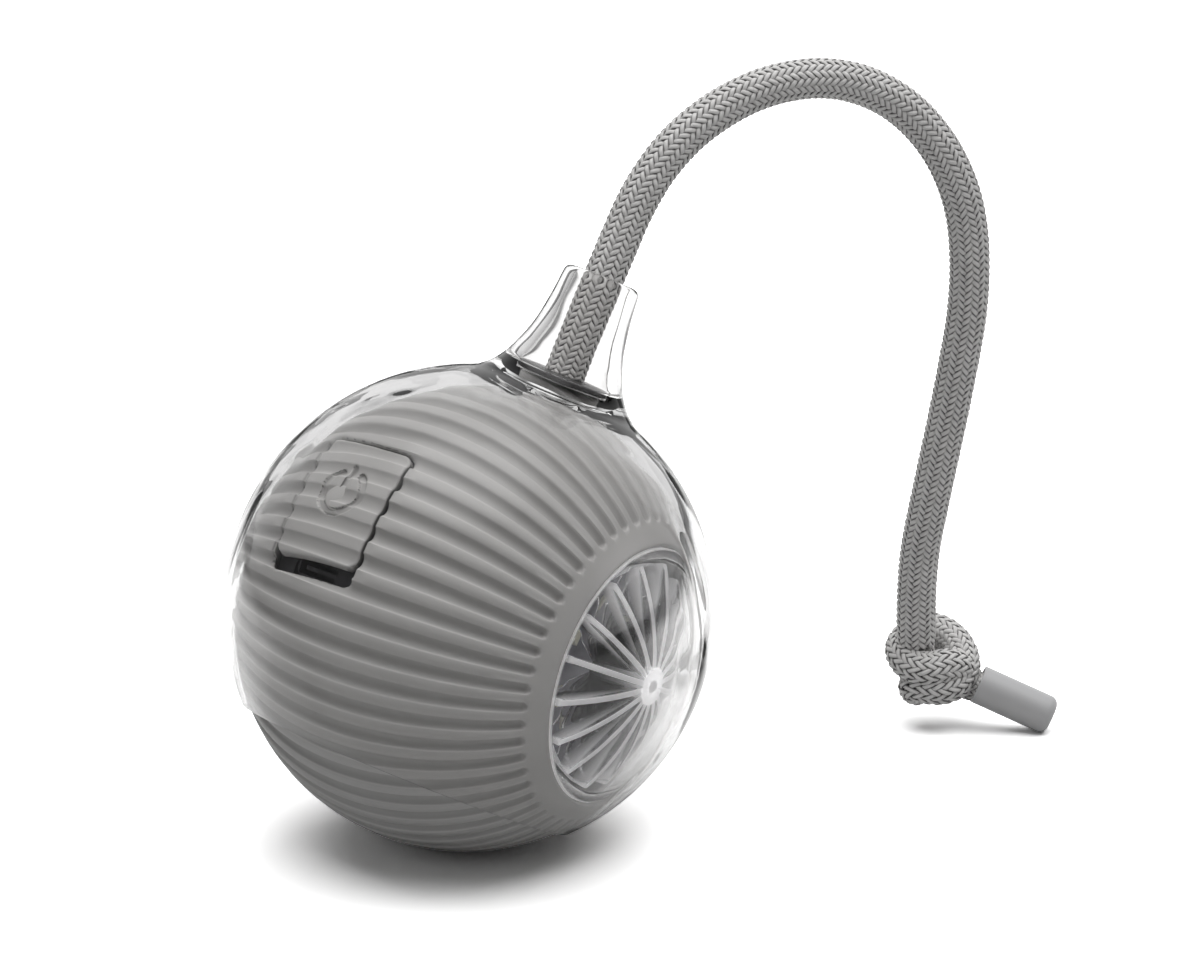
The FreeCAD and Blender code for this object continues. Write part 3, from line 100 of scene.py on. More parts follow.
class Wire:
    """A shader value that takes part in sums, so that a pattern reads as a formula."""

    def __init__(self, finish, socket):
        self.finish = finish
        self.socket = socket

    def sum(self, operation, first, second=0.0):
        return self.finish.node("ShaderNodeMath", {"operation": operation}, [first, second])

    def __add__(self, other):
        return self.sum("ADD", self, other)

    def __radd__(self, other):
        return self.sum("ADD", other, self)

    def __sub__(self, other):
        return self.sum("SUBTRACT", self, other)

    def __rsub__(self, other):
        return self.sum("SUBTRACT", other, self)

    def __mul__(self, other):
        return self.sum("MULTIPLY", self, other)

    def __rmul__(self, other):
        return self.sum("MULTIPLY", other, self)

    def sine(self):
        return self.sum("SINE", self)

    def size(self):
        return self.sum("ABSOLUTE", self)

    def larger(self, other):
        return self.sum("MAXIMUM", self, other)

    def limit(self, low, high):
        return self.sum("MINIMUM", self.larger(low), high)


class Finish:
    """A material of one kind of surface: its plain settings, then what changes over it."""

    def __init__(self, name, colour, roughness, **settings):
        self.material = bpy.data.materials.new(name)
        self.material.use_nodes = True
        self.tree = self.material.node_tree
        self.shader = self.tree.nodes["Principled BSDF"]
        self.output = self.tree.nodes["Material Output"]
        self.shader.inputs["Base Color"].default_value = (*colour, 1)
        self.shader.inputs["Roughness"].default_value = roughness
        for key, value in settings.items():
            self.shader.inputs[key.replace("_", " ")].default_value = value

    def node(self, kind, settings, values=(), output=0):
        made = self.tree.nodes.new(kind)
        for key, value in settings.items():
            setattr(made, key, value)
        pairs = values.items() if isinstance(values, dict) else enumerate(values)
        for key, value in pairs:
            self.join(made.inputs[key], value)
        return Wire(self, made.outputs[output])

    def join(self, socket, value):
        if isinstance(value, Wire):
            self.tree.links.new(value.socket, socket)
        else:
            socket.default_value = value

    def paint(self, socket, value):
        self.join(self.shader.inputs[socket], value)
        return self

    def mix(self, amount, first, second):
        """A colour between two colours, of which the first may be a pattern."""
        if not isinstance(first, Wire):
            first = (*first, 1)
        return self.node("ShaderNodeMix", {"data_type": "RGBA"}, {0: amount, 6: first, 7: (*second, 1)}, 2)

    def place(self, stretch=(1.0, 1.0, 1.0)):
        coordinates = self.node("ShaderNodeTexCoord", {}, (), "Object")
        return self.node("ShaderNodeMapping", {}, {0: coordinates, 3: stretch})

    def noise(self, vector, scale, detail=2.0):
        return self.node(
            "ShaderNodeTexNoise", {}, {"Vector": vector, "Scale": scale, "Detail": detail}, "Fac")

    def bump(self, height, strength, distance):
        lifted = self.node(
            "ShaderNodeBump", {}, {"Height": height, "Strength": strength, "Distance": distance})
        return self.paint("Normal", lifted)


def coat(piece, finish):
    piece.data.materials.clear()
    piece.data.materials.append(finish.material)


def shown(piece, body, slot, *nodes):
    """What every new piece needs: the body it rides on, its slot, which is not used, and what it stands for.
    """
    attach(piece, body)
    if nodes:
        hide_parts(*nodes)


def curve_points(name, route):
    """Points along a smooth spline whose control points are the route's."""
    data = bpy.data.curves.new(name, "CURVE")
    data.dimensions = "3D"
    data.resolution_u = 24
    spline = data.splines.new("NURBS")
    spline.points.add(len(route) - 1)
    for point, place in zip(spline.points, route):
        point.co = (*place, 1)
    spline.order_u = 3
    spline.use_endpoint_u = True
    holder = bpy.data.objects.new(name, data)
    mesh = bpy.data.meshes.new_from_object(holder)
    points = [vertex.co.copy() for vertex in mesh.vertices]
    bpy.data.meshes.remove(mesh)
    bpy.data.objects.remove(holder)
    bpy.data.curves.remove(data)
    return points


class Path:
    """A line through points that gives a place and a steady pair of sideways directions."""

    def __init__(self, points):
        self.points = points
        self.along = [0.0]
        for first, second in zip(points, points[1:]):
            self.along.append(self.along[-1] + (second - first).length)
        self.length = self.along[-1]
        self.frames = []
        side = None
        for i in range(len(points)):
            way = points[min(i + 1, len(points) - 1)] - points[max(i - 1, 0)]
            way.normalize()
            if side is None:
                side = way.cross(Vector((0, 1, 0)))
            side = (side - way * side.dot(way)).normalized()
            self.frames.append((side, way.cross(side)))

    def at(self, distance):
        distance = min(max(distance, 0.0), self.length)
        i = min(bisect_right(self.along, distance), len(self.along) - 1) - 1
        span = self.along[i + 1] - self.along[i]
        t = (distance - self.along[i]) / span if span else 0.0
        place = self.points[i].lerp(self.points[i + 1], t)
        side = self.frames[i][0].lerp(self.frames[i + 1][0], t).normalized()
        up = self.frames[i][1].lerp(self.frames[i + 1][1], t).normalized()
        return place, side, up


def built(name, vertices, faces):
    """A new piece from its vertices and faces, smooth but for its flat ends."""
    mesh = bpy.data.meshes.new(name)
    mesh.from_pydata(vertices, [], faces)
    for polygon in mesh.polygons:
        polygon.use_smooth = len(polygon.vertices) == 4
    piece = bpy.data.objects.new(name, mesh)
    scene.collection.objects.link(piece)
    return piece


def braid(name, path, radius_at, step, share):
    """Flat strands that run round the path both ways, each two over and two under
    the others, and fill that share of their room. Each is a six-sided ribbon,
    rounded on top, with its own UV strip, u along it and v across."""
    count = strands_each_way
    ribbon = ((-1.0, -0.35), (-0.62, 0.7), (0.0, 1.0), (0.62, 0.7), (1.0, -0.35), (0.0, -0.9))
    sides = len(ribbon)
    vertices, faces, strips = [], [], []
    rings = int(path.length / step) + 1
    stops = []
    for ring in range(rings):
        distance = path.length * ring / (rings - 1)
        place, side, up = path.at(distance)
        stops.append((distance, place, side, up, side.cross(up), radius_at(distance)))
    for turn in (1, -1):
        for strand in range(count):
            start = len(vertices)
            for distance, place, side, up, way, radius in stops:
                angle = turn * 2 * math.pi * distance / strand_pitch + 2 * math.pi * strand / count
                crossing = 2 * strand + turn * 2 * count * distance / strand_pitch
                lift = turn * math.cos(math.pi / 2 * crossing + math.pi / 4)
                lift = max(-1.0, min(1.0, lift * strand_flatness))
                half_width = radius * math.pi / count * share
                middle = radius * strand_middle + lift * radius * strand_lift
                slant = turn * math.atan2(2 * math.pi * radius, strand_pitch)
                for across, rise in ribbon:
                    across *= half_width
                    reach = middle + rise * radius * strand_rise
                    spread = angle + across * math.cos(slant) / radius
                    vertices.append(
                        place - way * (across * math.sin(slant))
                        + side * math.cos(spread) * reach + up * math.sin(spread) * reach)
            for ring in range(rings - 1):
                for k in range(sides):
                    a = start + ring * sides + k
                    b = start + ring * sides + (k + 1) % sides
                    faces.append((a, b, b + sides, a + sides))
                    u = ring / (rings - 1) * path.length
                    strips.append((u, k / sides, (k + 1) / sides, path.length / (rings - 1)))
            faces.append(tuple(start + k for k in reversed(range(sides))))
            strips.append((0, 0, 0, 0))
            last = start + (rings - 1) * sides
            faces.append(tuple(last + k for k in range(sides)))
            strips.append((path.length, 0, 0, 0))
    piece = built(name, vertices, faces)
    layer = piece.data.uv_layers.new(name="strand")
    for polygon, (u, v0, v1, du) in zip(piece.data.polygons, strips):
        corners = [(u, v0), (u, v1), (u + du, v1), (u + du, v0)]
        for i, loop in enumerate(polygon.loop_indices):
            layer.data[loop].uv = corners[i % 4]
    return piece


def core(name, path, radius_at, step):
    """The dark inside of the rope, a plain tube under the strands; its dark colour is painted shade seen in
    the gaps.
    """
    sides = 16
    rings = int(path.length / step) + 1
    vertices, faces = [], []
    for ring in range(rings):
        distance = path.length * ring / (rings - 1)
        place, side, up = path.at(distance)
        reach = radius_at(distance) * core_share
        for k in range(sides):
            angle = 2 * math.pi * k / sides
            vertices.append(place + side * math.cos(angle) * reach + up * math.sin(angle) * reach)
    for ring in range(rings - 1):
        for k in range(sides):
            a = ring * sides + k
            b = ring * sides + (k + 1) % sides
            faces.append((a, b, b + sides, a + sides))
    faces.append(tuple(reversed(range(sides))))
    faces.append(tuple((rings - 1) * sides + k for k in range(sides)))
    return built(name, vertices, faces)


rope_path = Path(curve_points("rope_line", rope_route))
braid_finish = Finish("rope_braid", (0.46, 0.45, 0.44), 0.6, Sheen_Weight=0.25, Sheen_Roughness=0.5)
strip = braid_finish.node("ShaderNodeUVMap", {"uv_map": "strand"})
across = braid_finish.node("ShaderNodeSeparateXYZ", {}, [strip], "Y")
fibres = (across * 2 * math.pi * 15).sine() * 0.5 + 0.5
wear = braid_finish.noise(braid_finish.place(), 600.0, 3.0)
patches = braid_finish.noise(braid_finish.place(), 140.0, 2.0)
yarn = braid_finish.mix(
    wear * 0.5 + patches * 0.35 + fibres * 0.15, (0.45, 0.442, 0.435), (0.82, 0.81, 0.8))
# Painted shade: each strand darkens towards its sides and underside, so the gaps between strands read dark.
between = ((across * 6 - 2).size() - 0.72).limit(0.0, 1.0)
braid_finish.paint("Base Color", braid_finish.mix(between, yarn, (0.03, 0.029, 0.028)))
braid_finish.bump(fibres * 0.6 + wear * 0.6, 0.35, 0.0001)
# Near black: painted shade, seen in the gaps between the strands.
core_finish = Finish("rope_core", (0.025, 0.025, 0.024), 0.9)
core_finish.bump(core_finish.noise(core_finish.place(), 900.0), 0.3, 0.0001)


def rope_radius(distance):
    return rope_diameter / 2


rope_core = core("rope_core", rope_path, rope_radius, rope_core_step)
rope_braid = braid("rope_braid", rope_path, rope_radius, rope_step, strand_share)
coat(rope_braid, braid_finish)
coat(rope_core, core_finish)
shown(rope_core, "cover", "rope_fabric", "rope")
shown(rope_braid, "cover", "rope_fabric")

# Knot. The rope's lower end is tied in an overhand knot: it goes down behind,
# turns up in front, wraps once over itself and leaves to the right.
knot_route = [
    (0.0793, 0.0566, 0.0157), (0.0797, 0.0558, 0.0106), (0.0796, 0.0559, 0.0064),
    (0.0789, 0.0521, 0.0090), (0.0841, 0.0511, 0.0083), (0.0881, 0.0545, 0.0100),
    (0.0871, 0.0595, 0.0141), (0.0821, 0.0620, 0.0165), (0.0771, 0.0592, 0.0148),
    (0.0767, 0.0544, 0.0131), (0.0806, 0.0507, 0.0117), (0.0857, 0.0523, 0.0127),
    (0.0881, 0.0558, 0.0091), (0.0891, 0.0557, 0.0072), (0.0921, 0.0546, 0.0071),
]
knot_squeeze = 0.92
tail_squeeze = 0.16
knot_step = 0.0005
knot_core_step = 0.0008
knot_share = strand_share * 1.12
knot_path = Path(curve_points("knot_line", knot_route))


def knot_radius(distance):
    """The rope is a little thinner in the knot, and more so in the end sleeve."""
    left = (knot_path.length - distance) / rope_diameter
    return rope_diameter / 2 * (knot_squeeze - tail_squeeze * math.exp(-left * left * 4))


knot_core = core("knot_core", knot_path, knot_radius, knot_core_step)
knot_braid = braid("knot_braid", knot_path, knot_radius, knot_step, knot_share)
coat(knot_braid, braid_finish)
coat(knot_core, core_finish)
shown(knot_core, "cover", "rope_fabric", "rope_knot")
shown(knot_braid, "cover", "rope_fabric")

# End sleeve. A closed plastic tube, satin grey, pushed over the rope's tail to
# keep it from fraying. Its closed end is rounded and its mouth has a small lip.
sleeve_foot = Vector((0.0904, 0.0533, 0.00852))
sleeve_way = Vector((12.5, -1.6, -5.4)).normalized()
sleeve_length = 0.0146
sleeve_radius = 0.0035
sleeve_bore = 0.0029
sleeve_depth = 0.008
tip_round = 0.0016
mouth_round = 0.0002
pin_hole = 0.0001


def arc(middle, radius, first, last, count):
    """Points on an arc, its angles in degrees from the outward direction."""
    points = []
    for i in range(count + 1):
        angle = math.radians(first + (last - first) * i / count)
        points.append((middle[0] + radius * math.cos(angle), middle[1] + radius * math.sin(angle)))
    return points


def spun(name, outline, steps, frame):
    """A closed outline of (radius, height) points, spun about its axis as on a lathe."""
    bpy.ops.mesh.primitive_circle_add(vertices=len(outline), fill_type="NOTHING")
    piece = bpy.context.object
    piece.name = name
    for vertex, (radius, height) in zip(piece.data.vertices, outline):
        vertex.co = (radius, 0, height)
    bpy.ops.object.mode_set(mode="EDIT")
    bpy.ops.mesh.select_all(action="SELECT")
    bpy.ops.mesh.spin(steps=steps, angle=2 * math.pi, center=(0, 0, 0), axis=(0, 0, 1))
    bpy.ops.mesh.select_all(action="SELECT")
    bpy.ops.mesh.remove_doubles(threshold=0.000002)
    bpy.ops.mesh.normals_make_consistent(inside=False)
    bpy.ops.object.mode_set(mode="OBJECT")
    piece.data.transform(frame)
    return piece


def smooth(piece, degrees=35):
    """Smooth shading that leaves corners sharper than the angle."""
    bpy.ops.object.select_all(action="DESELECT")
    piece.select_set(True)
    bpy.context.view_layer.objects.active = piece
    bpy.ops.object.shade_smooth_by_angle(angle=math.radians(degrees))
    bpy.ops.object.select_all(action="DESELECT")


sleeve_turn = sleeve_way.to_track_quat("Z", "Y").to_matrix().to_4x4()
sleeve_outline = [(sleeve_bore, sleeve_depth), (sleeve_bore, mouth_round)]
sleeve_outline += arc((sleeve_bore + mouth_round, mouth_round), mouth_round, 180, 270, 4)
sleeve_outline += arc((sleeve_radius - mouth_round, mouth_round), mouth_round, 270, 360, 4)
sleeve_outline += arc((sleeve_radius - tip_round, sleeve_length - tip_round), tip_round, 0, 90, 10)
sleeve_outline += [(pin_hole, sleeve_length), (pin_hole, sleeve_depth)]
end_sleeve = spun("end_sleeve", sleeve_outline, 96, Matrix.Translation(sleeve_foot) @ sleeve_turn)
smooth(end_sleeve)
sleeve_finish = Finish("sleeve_plastic", (0.42, 0.42, 0.426), 0.36)
sleeve_spots = sleeve_finish.noise(sleeve_finish.place(), 900.0, 4.0)
sleeve_clouds = sleeve_finish.noise(sleeve_finish.place(), 90.0)
sleeve_finish.paint("Roughness", sleeve_clouds * 0.16 + 0.3)
sleeve_finish.bump(sleeve_spots, 0.12, 0.00004)
coat(end_sleeve, sleeve_finish)
shown(end_sleeve, "cover", "sleeve_plastic", "rope_end_sleeve")

# Clear cover. A soft clear shell in one piece, moulded with its neck, that hangs
# over the ball and is open below. Its wall thins from the neck to the mouth.
mm = 0.001
ball_height = 39.8 * mm
neck_lean = Matrix.Rotation(math.radians(-18), 4, "X") @ Matrix.Rotation(math.radians(22), 4, "Y")
cover_rise = 1.7 * mm
rise = neck_lean @ Vector((0, 0, cover_rise))
cover_frame = Matrix.Translation((0, 0, ball_height + rise.z)) @ neck_lean
cover_radius = 42.0 * mm
cover_inside = 40.15 * mm
mouth_angle = 45
flare_angle = 20
neck_top = 61.1 * mm
neck_radius = 6.85 * mm
bore_radius = 4.75 * mm
rim_round = 1.3 * mm
disc_foot = 40.4 * mm
disc_top = 41.6 * mm
groove_radius = 8.85 * mm
throat_radius = 8.0 * mm
lip_round = 0.45 * mm
lip_room = 0.6
seat_play = 0.1 * mm


def smooth_line(places, count):
    """A curve through places, its ends straight, as (radius, height) points."""
    ends = [tuple(2 * a - b for a, b in zip(places[0], places[1]))]
    ends += places
    ends.append(tuple(2 * a - b for a, b in zip(places[-1], places[-2])))
    points = []
    for i in range(1, len(ends) - 2):
        before, first, last, after = ends[i - 1:i + 3]
        for k in range(count):
            t = k / count
            weights = (
                -t / 2 + t * t - t ** 3 / 2, 1 - 2.5 * t * t + 1.5 * t ** 3,
                t / 2 + 2 * t * t - 1.5 * t ** 3, -t * t / 2 + t ** 3 / 2)
            points.append(tuple(
                sum(w * p[axis] for w, p in zip(weights, (before, first, last, after)))
                for axis in (0, 1)))
    points.append(places[-1])
    return points


lip_start = math.degrees(math.asin(math.sin(math.radians(mouth_angle)) * cover_radius / cover_inside))
outside = arc((0, 0), cover_radius, mouth_angle - 90 + lip_room, 90 - flare_angle, 48)
neck_side = smooth_line([
    outside[-1], (12.2 * mm, 41.45 * mm), (10.2 * mm, 44.6 * mm), (8.35 * mm, 49.6 * mm),
    (7.35 * mm, 55.0 * mm), (neck_radius, neck_top - rim_round)], 7)
rim_side = arc((neck_radius - rim_round, neck_top - rim_round), rim_round, 0, 90, 9)
bore_round = rim_round * 0.6
rim_inner = arc((bore_radius + bore_round, neck_top - bore_round), bore_round, 90, 180, 7)
bore_side = smooth_line([
    rim_inner[-1], (bore_radius + 0.55 * mm, 52 * mm), (bore_radius + 1.85 * mm, 46.5 * mm),
    (8.3 * mm, disc_top + 0.4 * mm)], 8)
seat_side = [
    (8.3 * mm, disc_top + seat_play), (groove_radius, disc_top + seat_play),
    (groove_radius, disc_foot - seat_play), (throat_radius, disc_foot - seat_play),
]
throat_angle = math.degrees(math.acos(throat_radius / cover_inside))
inside = arc((0, -cover_rise), cover_inside, throat_angle, lip_start - 90 - 2 * lip_room, 60)
lip_out, lip_in = Vector(outside[0]), Vector(inside[-1])
lip_foot = (lip_out + lip_in) / 2 + Vector((0, -lip_round)) * 0.6
cover_outline = outside + neck_side[1:] + rim_side[1:] + rim_inner + bore_side[1:] + seat_side + inside
cover_outline += [tuple(lip_in.lerp(lip_foot, 0.65)), tuple(lip_foot), tuple(lip_out.lerp(lip_foot, 0.65))]
clear_cover = spun("clear_cover", cover_outline, 224, cover_frame)
smooth(clear_cover)


def clear(name, colour, roughness, index, passing=0.94, edges=""):
    """A see-through finish: it bends what is seen through it, and lets light on to
    what it covers. An attribute can name moulded edges, where a painted glint,
    a white diffuse and translucent shader, is mixed in."""
    finish = Finish(name, colour, roughness, IOR=index, Transmission_Weight=1.0)
    path = finish.node("ShaderNodeLightPath", {}, (), "Is Shadow Ray")
    spread = Wire(finish, path.socket.node.outputs["Is Diffuse Ray"])
    through = finish.node("ShaderNodeBsdfTransparent", {}, [(*colour, 1)])
    own = Wire(finish, finish.shader.outputs[0])
    mixed = finish.node("ShaderNodeMixShader", {}, [path.larger(spread) * passing, own, through])
    if edges:
        glint = finish.node("ShaderNodeAttribute", {"attribute_name": edges}, (), "Fac")
        painted_glint = finish.node("ShaderNodeBsdfDiffuse", {}, [(0.92, 0.92, 0.92, 1)])
        lit_behind = finish.node("ShaderNodeBsdfTranslucent", {}, [(0.75, 0.75, 0.75, 1)])
        painted_glint = finish.node("ShaderNodeAddShader", {}, [painted_glint, lit_behind])
        mixed = finish.node("ShaderNodeMixShader", {}, [glint, mixed, painted_glint])
    finish.join(finish.output.inputs["Surface"], mixed)
    return finish


cover_finish = clear("clear_elastomer", (0.985, 0.982, 0.98), 0.0, 1.42)
flow_lines = cover_finish.noise(cover_finish.place((1.0, 1.0, 0.3)), 130.0, 0.6)
cover_finish.bump(flow_lines, 0.42, 0.0006)
coat(clear_cover, cover_finish)
shown(clear_cover, "cover", "clear_cover", "cover_shell")

# Anchor disc. A dark moulded disc that snaps into the groove under the neck and
# holds the rope's end. Its edge is bevelled so that it can be pushed in.
disc_radius = 8.7 * mm
disc_bevel = 0.2 * mm
disc_outline = [
    (0.05 * mm, disc_foot), (disc_radius - disc_bevel, disc_foot),
    (disc_radius, disc_foot + disc_bevel), (disc_radius, disc_top - disc_bevel),
    (disc_radius - disc_bevel, disc_top), (0.05 * mm, disc_top),
]
seat_disc = spun("seat_disc", disc_outline, 96, cover_frame)
smooth(seat_disc, 30)
disc_finish = Finish("disc_plastic", (0.045, 0.044, 0.046), 0.3)
disc_finish.bump(disc_finish.noise(disc_finish.place(), 700.0, 4.0), 0.15, 0.00005)
coat(seat_disc, disc_finish)
shown(seat_disc, "cover", "disc_plastic", "rope_anchor_disc")

# Tread. A sleeve of matt grey silicone, moulded in one piece and stretched over
# the housing. Its ribs run from pole to pole, and the valleys between them end
# round at the smooth pole rings. A window is left for the button panel.
ball_frame = (
    Matrix.Translation(cover_frame.translation - rise)
    @ Matrix.Rotation(math.radians(-33.5), 4, "Z")
    @ Matrix.Rotation(math.radians(7), 4, "Y")
    @ Matrix.Rotation(math.radians(-26.5), 4, "X"))
ball_radius = 39.8 * mm
rib_height = 1.0 * mm
ring_drop = 0.15 * mm
rib_count = 52
rib_pitch = 360 / rib_count
rib_end = 49.5
ring_start = 44
ring_edge = 54.75
valley_share = 0.61
first_rib = 206.5
tread_inside = 37.3 * mm
pole_hole = 22.5 * mm
pole_lip = 0.45 * mm
button_turn = math.radians(72)
panel_near = -0.3 * mm
panel_far = -18.2 * mm
panel_high = 10.6 * mm
panel_low = -11.0 * mm
slot_low = -13.75 * mm
panel_gap = 0.35 * mm
panel_round = 2.0 * mm
panel_edge = (panel_low, panel_high, panel_near, panel_far, panel_round)
window = (
    slot_low, panel_high + panel_gap, panel_near + panel_gap, panel_far - panel_gap, panel_round + panel_gap)
tread_skin = 38.5 * mm
# Painted shade in and round the window's gap: its mark, its line's width and its reach on the lip.
gap_shade = -2.2
gap_line = 0.03 * mm
shade_reach = 0.45 * mm
# Where the mesh has its lines across a rib's pitch: closer together on the flanks.
rib_lines = (-0.5, -0.405, -0.315, -0.25, -0.212, -0.18, 0.0, 0.18, 0.212, 0.25, 0.315, 0.405, 0.5)


def rib_level(along, round_place):
    """How high the tread is at an angle from the middle plane and one round the
    poles, both in degrees: 0 in a valley, 1 on a rib. Then its painted light:
    a painted highlight, most at a rib's edge, and painted shade, less than
    nothing, in a valley."""
    share = ((round_place - first_rib) / rib_pitch + 0.5) % 1 - 0.5
    half = math.pi / rib_count * ball_radius * math.cos(math.radians(along))
    width = valley_share * half
    across = (0.5 - abs(share)) * 2 * half
    left = math.radians(rib_end - abs(along)) * ball_radius
    if left <= 0:
        return 1.0, 0.0
    reach = math.hypot(across, max(0.0, width - left)) / width
    edge = max(0.0, 1 - abs(reach - 0.97) * 9)
    level = min(1.0, reach ** 2.3)
    return level, edge - 0.42 * (1 - level)


def tread_radius(place, height):
    """The tread's radius below a place, given in the ball's own directions."""
    along = math.degrees(math.asin(max(-1.0, min(1.0, place.x / place.length))))
    level, edge = rib_level(along, math.degrees(math.atan2(-place.y, place.z)))
    down = min(1.0, max(0.0, (abs(along) - ring_start) / (rib_end - ring_start)))
    return ball_radius - ring_drop * down * down - height * (1 - level), edge


def outside_of(x, y, low, high, near, far, radius):
    """How far a place in the panel's own plane lies outside a rounded outline."""
    out_x = abs(x - (near + far) / 2) - abs(near - far) / 2 + radius
    out_y = abs(y - (low + high) / 2) - (high - low) / 2 + radius
    return math.hypot(max(out_x, 0), max(out_y, 0)) + min(max(out_x, out_y), 0) - radius


def key_block(low, high, near, far, radius, foot, top):
    """A rounded upright block in the panel's own directions, to cut with."""
    bpy.ops.mesh.primitive_cube_add(size=1)
    block = bpy.context.object
    block.data.transform(
        Matrix.Translation(((near + far) / 2, (low + high) / 2, (foot + top) / 2))
        @ Matrix.Diagonal((abs(near - far), high - low, top - foot, 1)))
    bpy.ops.object.mode_set(mode="EDIT")
    bpy.ops.mesh.select_all(action="DESELECT")
    bpy.ops.object.mode_set(mode="OBJECT")
    for edge in block.data.edges:
        ends = [block.data.vertices[i].co for i in edge.vertices]
        edge.select = abs(ends[0].z - ends[1].z) > (top - foot) / 2
    bpy.ops.object.mode_set(mode="EDIT")
    bpy.ops.mesh.select_mode(type="EDGE")
    bpy.ops.mesh.bevel(offset=radius, segments=10)
    bpy.ops.mesh.select_mode(type="VERT")
    bpy.ops.object.mode_set(mode="OBJECT")
    return block


def combined(piece, tool, operation, solver="EXACT"):
    modifier = piece.modifiers.new("shape", "BOOLEAN")
    modifier.operation = operation
    modifier.object = tool
    modifier.solver = solver
    bpy.context.view_layer.objects.active = piece
    bpy.ops.object.modifier_apply(modifier="shape")
    bpy.data.objects.remove(tool)


def eased(mesh, outline, way, reach, drop, lowest):
    """Round the lip on one side of an outline: the surface falls away as it nears it."""
    for vertex in mesh.vertices:
        place = vertex.co
        if place.z < 0 or place.length < lowest:
            continue
        away = outside_of(place.x, place.y, *outline) * way
        if -0.05 * mm < away < reach:
            fall = 1 - max(away, 0) / reach
            place -= place.normalized() * drop * (1 - math.sqrt(1 - fall * fall))


half_outline = []
heights = [2.2 * i for i in range(20)] + [ring_start + 0.367 * i for i in range(16)]
for angle in heights + [50.4, 51.6, 52.8, 53.9]:
    half_outline.append((
        ball_radius * math.cos(math.radians(angle)), ball_radius * math.sin(math.radians(angle))))
lip_reach = ball_radius - ring_drop - pole_lip
lip_middle = (lip_reach * math.cos(math.radians(ring_edge)), lip_reach * math.sin(math.radians(ring_edge)))
half_outline += arc(lip_middle, pole_lip, ring_edge, 180, 8)
inner_edge = math.degrees(math.acos((lip_middle[0] - pole_lip) / tread_inside))
half_outline += arc((0, 0), tread_inside, inner_edge, 0, 16)
lower = [(radius, -height) for radius, height in reversed(half_outline[1:-1])]
pole_way = Matrix.Rotation(math.pi / 2, 4, "Y")
tread = spun("tread", half_outline + lower, rib_count * 12, pole_way)
tread.data.transform(Matrix.Rotation(-button_turn, 4, "X"))
bpy.ops.object.select_all(action="DESELECT")
bpy.context.view_layer.objects.active = tread
tread.select_set(True)
bpy.ops.object.mode_set(mode="EDIT")
bpy.ops.mesh.select_all(action="DESELECT")
bpy.ops.mesh.select_mode(type="FACE")
bpy.ops.object.mode_set(mode="OBJECT")
for face in tread.data.polygons:
    middle = face.center
    away = outside_of(middle.x, middle.y, *window)
    face.select = middle.z > 0 and middle.length > tread_skin and abs(away - 0.2 * mm) < 1.3 * mm
bpy.ops.object.mode_set(mode="EDIT")
bpy.ops.mesh.subdivide(number_cuts=3)
bpy.ops.mesh.select_mode(type="VERT")
bpy.ops.object.mode_set(mode="OBJECT")
tread.data.transform(Matrix.Rotation(button_turn, 4, "X"))
gaps = len(rib_lines) - 1
for vertex in tread.data.vertices:
    place = vertex.co
    if place.length < tread_skin or math.hypot(place.y, place.z) < pole_hole + 0.5 * mm:
        continue
    angle = math.degrees(math.atan2(-place.y, place.z)) - first_rib
    share = (angle / rib_pitch + 0.5) % 1
    line = min(int(share * gaps), gaps - 1)
    moved = rib_lines[line] + (share * gaps - line) * (rib_lines[line + 1] - rib_lines[line])
    turn = math.radians((moved - share + 0.5) * rib_pitch)
    place.rotate(Matrix.Rotation(turn, 3, "X"))
    place *= tread_radius(place, rib_height)[0] / place.length
tread.data.transform(Matrix.Rotation(-button_turn, 4, "X"))
combined(tread, key_block(*window, 20 * mm, 50 * mm), "DIFFERENCE", "MANIFOLD")
eased(tread.data, window, 1, 0.55 * mm, 0.4 * mm, tread_skin + 0.1 * mm)


def painted_light_marks(piece, frame, height):
    """Mark how near each vertex lies to a rib's edge, where a highlight is painted
    on the silicone. The marks are negative where shade is painted, as in the gap."""
    marks = piece.data.attributes.new("painted_light_and_shade", "FLOAT", "POINT")
    for vertex, mark in zip(piece.data.vertices, marks.data):
        mark.value = tread_radius(frame @ vertex.co, height)[1]


def silicone(name):
    """Matt moulded silicone: fine grain, a cloudy sheen, a painted highlight at the ribs' edges and painted
    shade in valleys, gaps and the sign.
    """
    finish = Finish(name, (0.34, 0.337, 0.333), 0.5, Specular_IOR_Level=0.4)
    clouds = finish.noise(finish.place(), 60.0, 4.0)
    grain = finish.noise(finish.place(), 1800.0, 3.0)
    # Painted light read from an attribute: a painted highlight at rib edges, painted shade in valleys and
    # gaps.
    painted_light_mark = finish.node("ShaderNodeAttribute", {"attribute_name": "painted_light_and_shade"}, (), "Fac")
    tone = clouds * 0.08 + grain * 0.03 + painted_light_mark * 0.25 + 0.59
    finish.paint("Base Color", finish.mix(tone, (0.08, 0.079, 0.078), (0.59, 0.585, 0.578)))
    finish.paint("Roughness", clouds * 0.2 + 0.42)
    return finish.bump(grain, 0.15, 0.00003)


back = Matrix.Rotation(button_turn, 4, "X")
painted_light_marks(tread, back, rib_height)
# Painted shade: the tread's wall in the window and a thin line along its outline are dark, and on the side
# away from the near pole the lip darkens towards the window.
for vertex, mark in zip(tread.data.vertices, tread.data.attributes["painted_light_and_shade"].data):
    place = vertex.co
    away = outside_of(place.x, place.y, *window)
    if place.z < 0:
        continue
    if (place.length < tread_skin and away < 0.3 * mm) or abs(away) < gap_line:
        mark.value = gap_shade
    elif place.x < panel_far - 0.2 * mm and 0 < away < shade_reach:
        mark.value -= 2.0 * (1 - away / shade_reach)
tread.data.transform(ball_frame @ back)
smooth(tread, 50)
silicone_finish = silicone("tread_silicone")
coat(tread, silicone_finish)
shown(tread, "ball", "tread_silicone", "tread_sleeve")

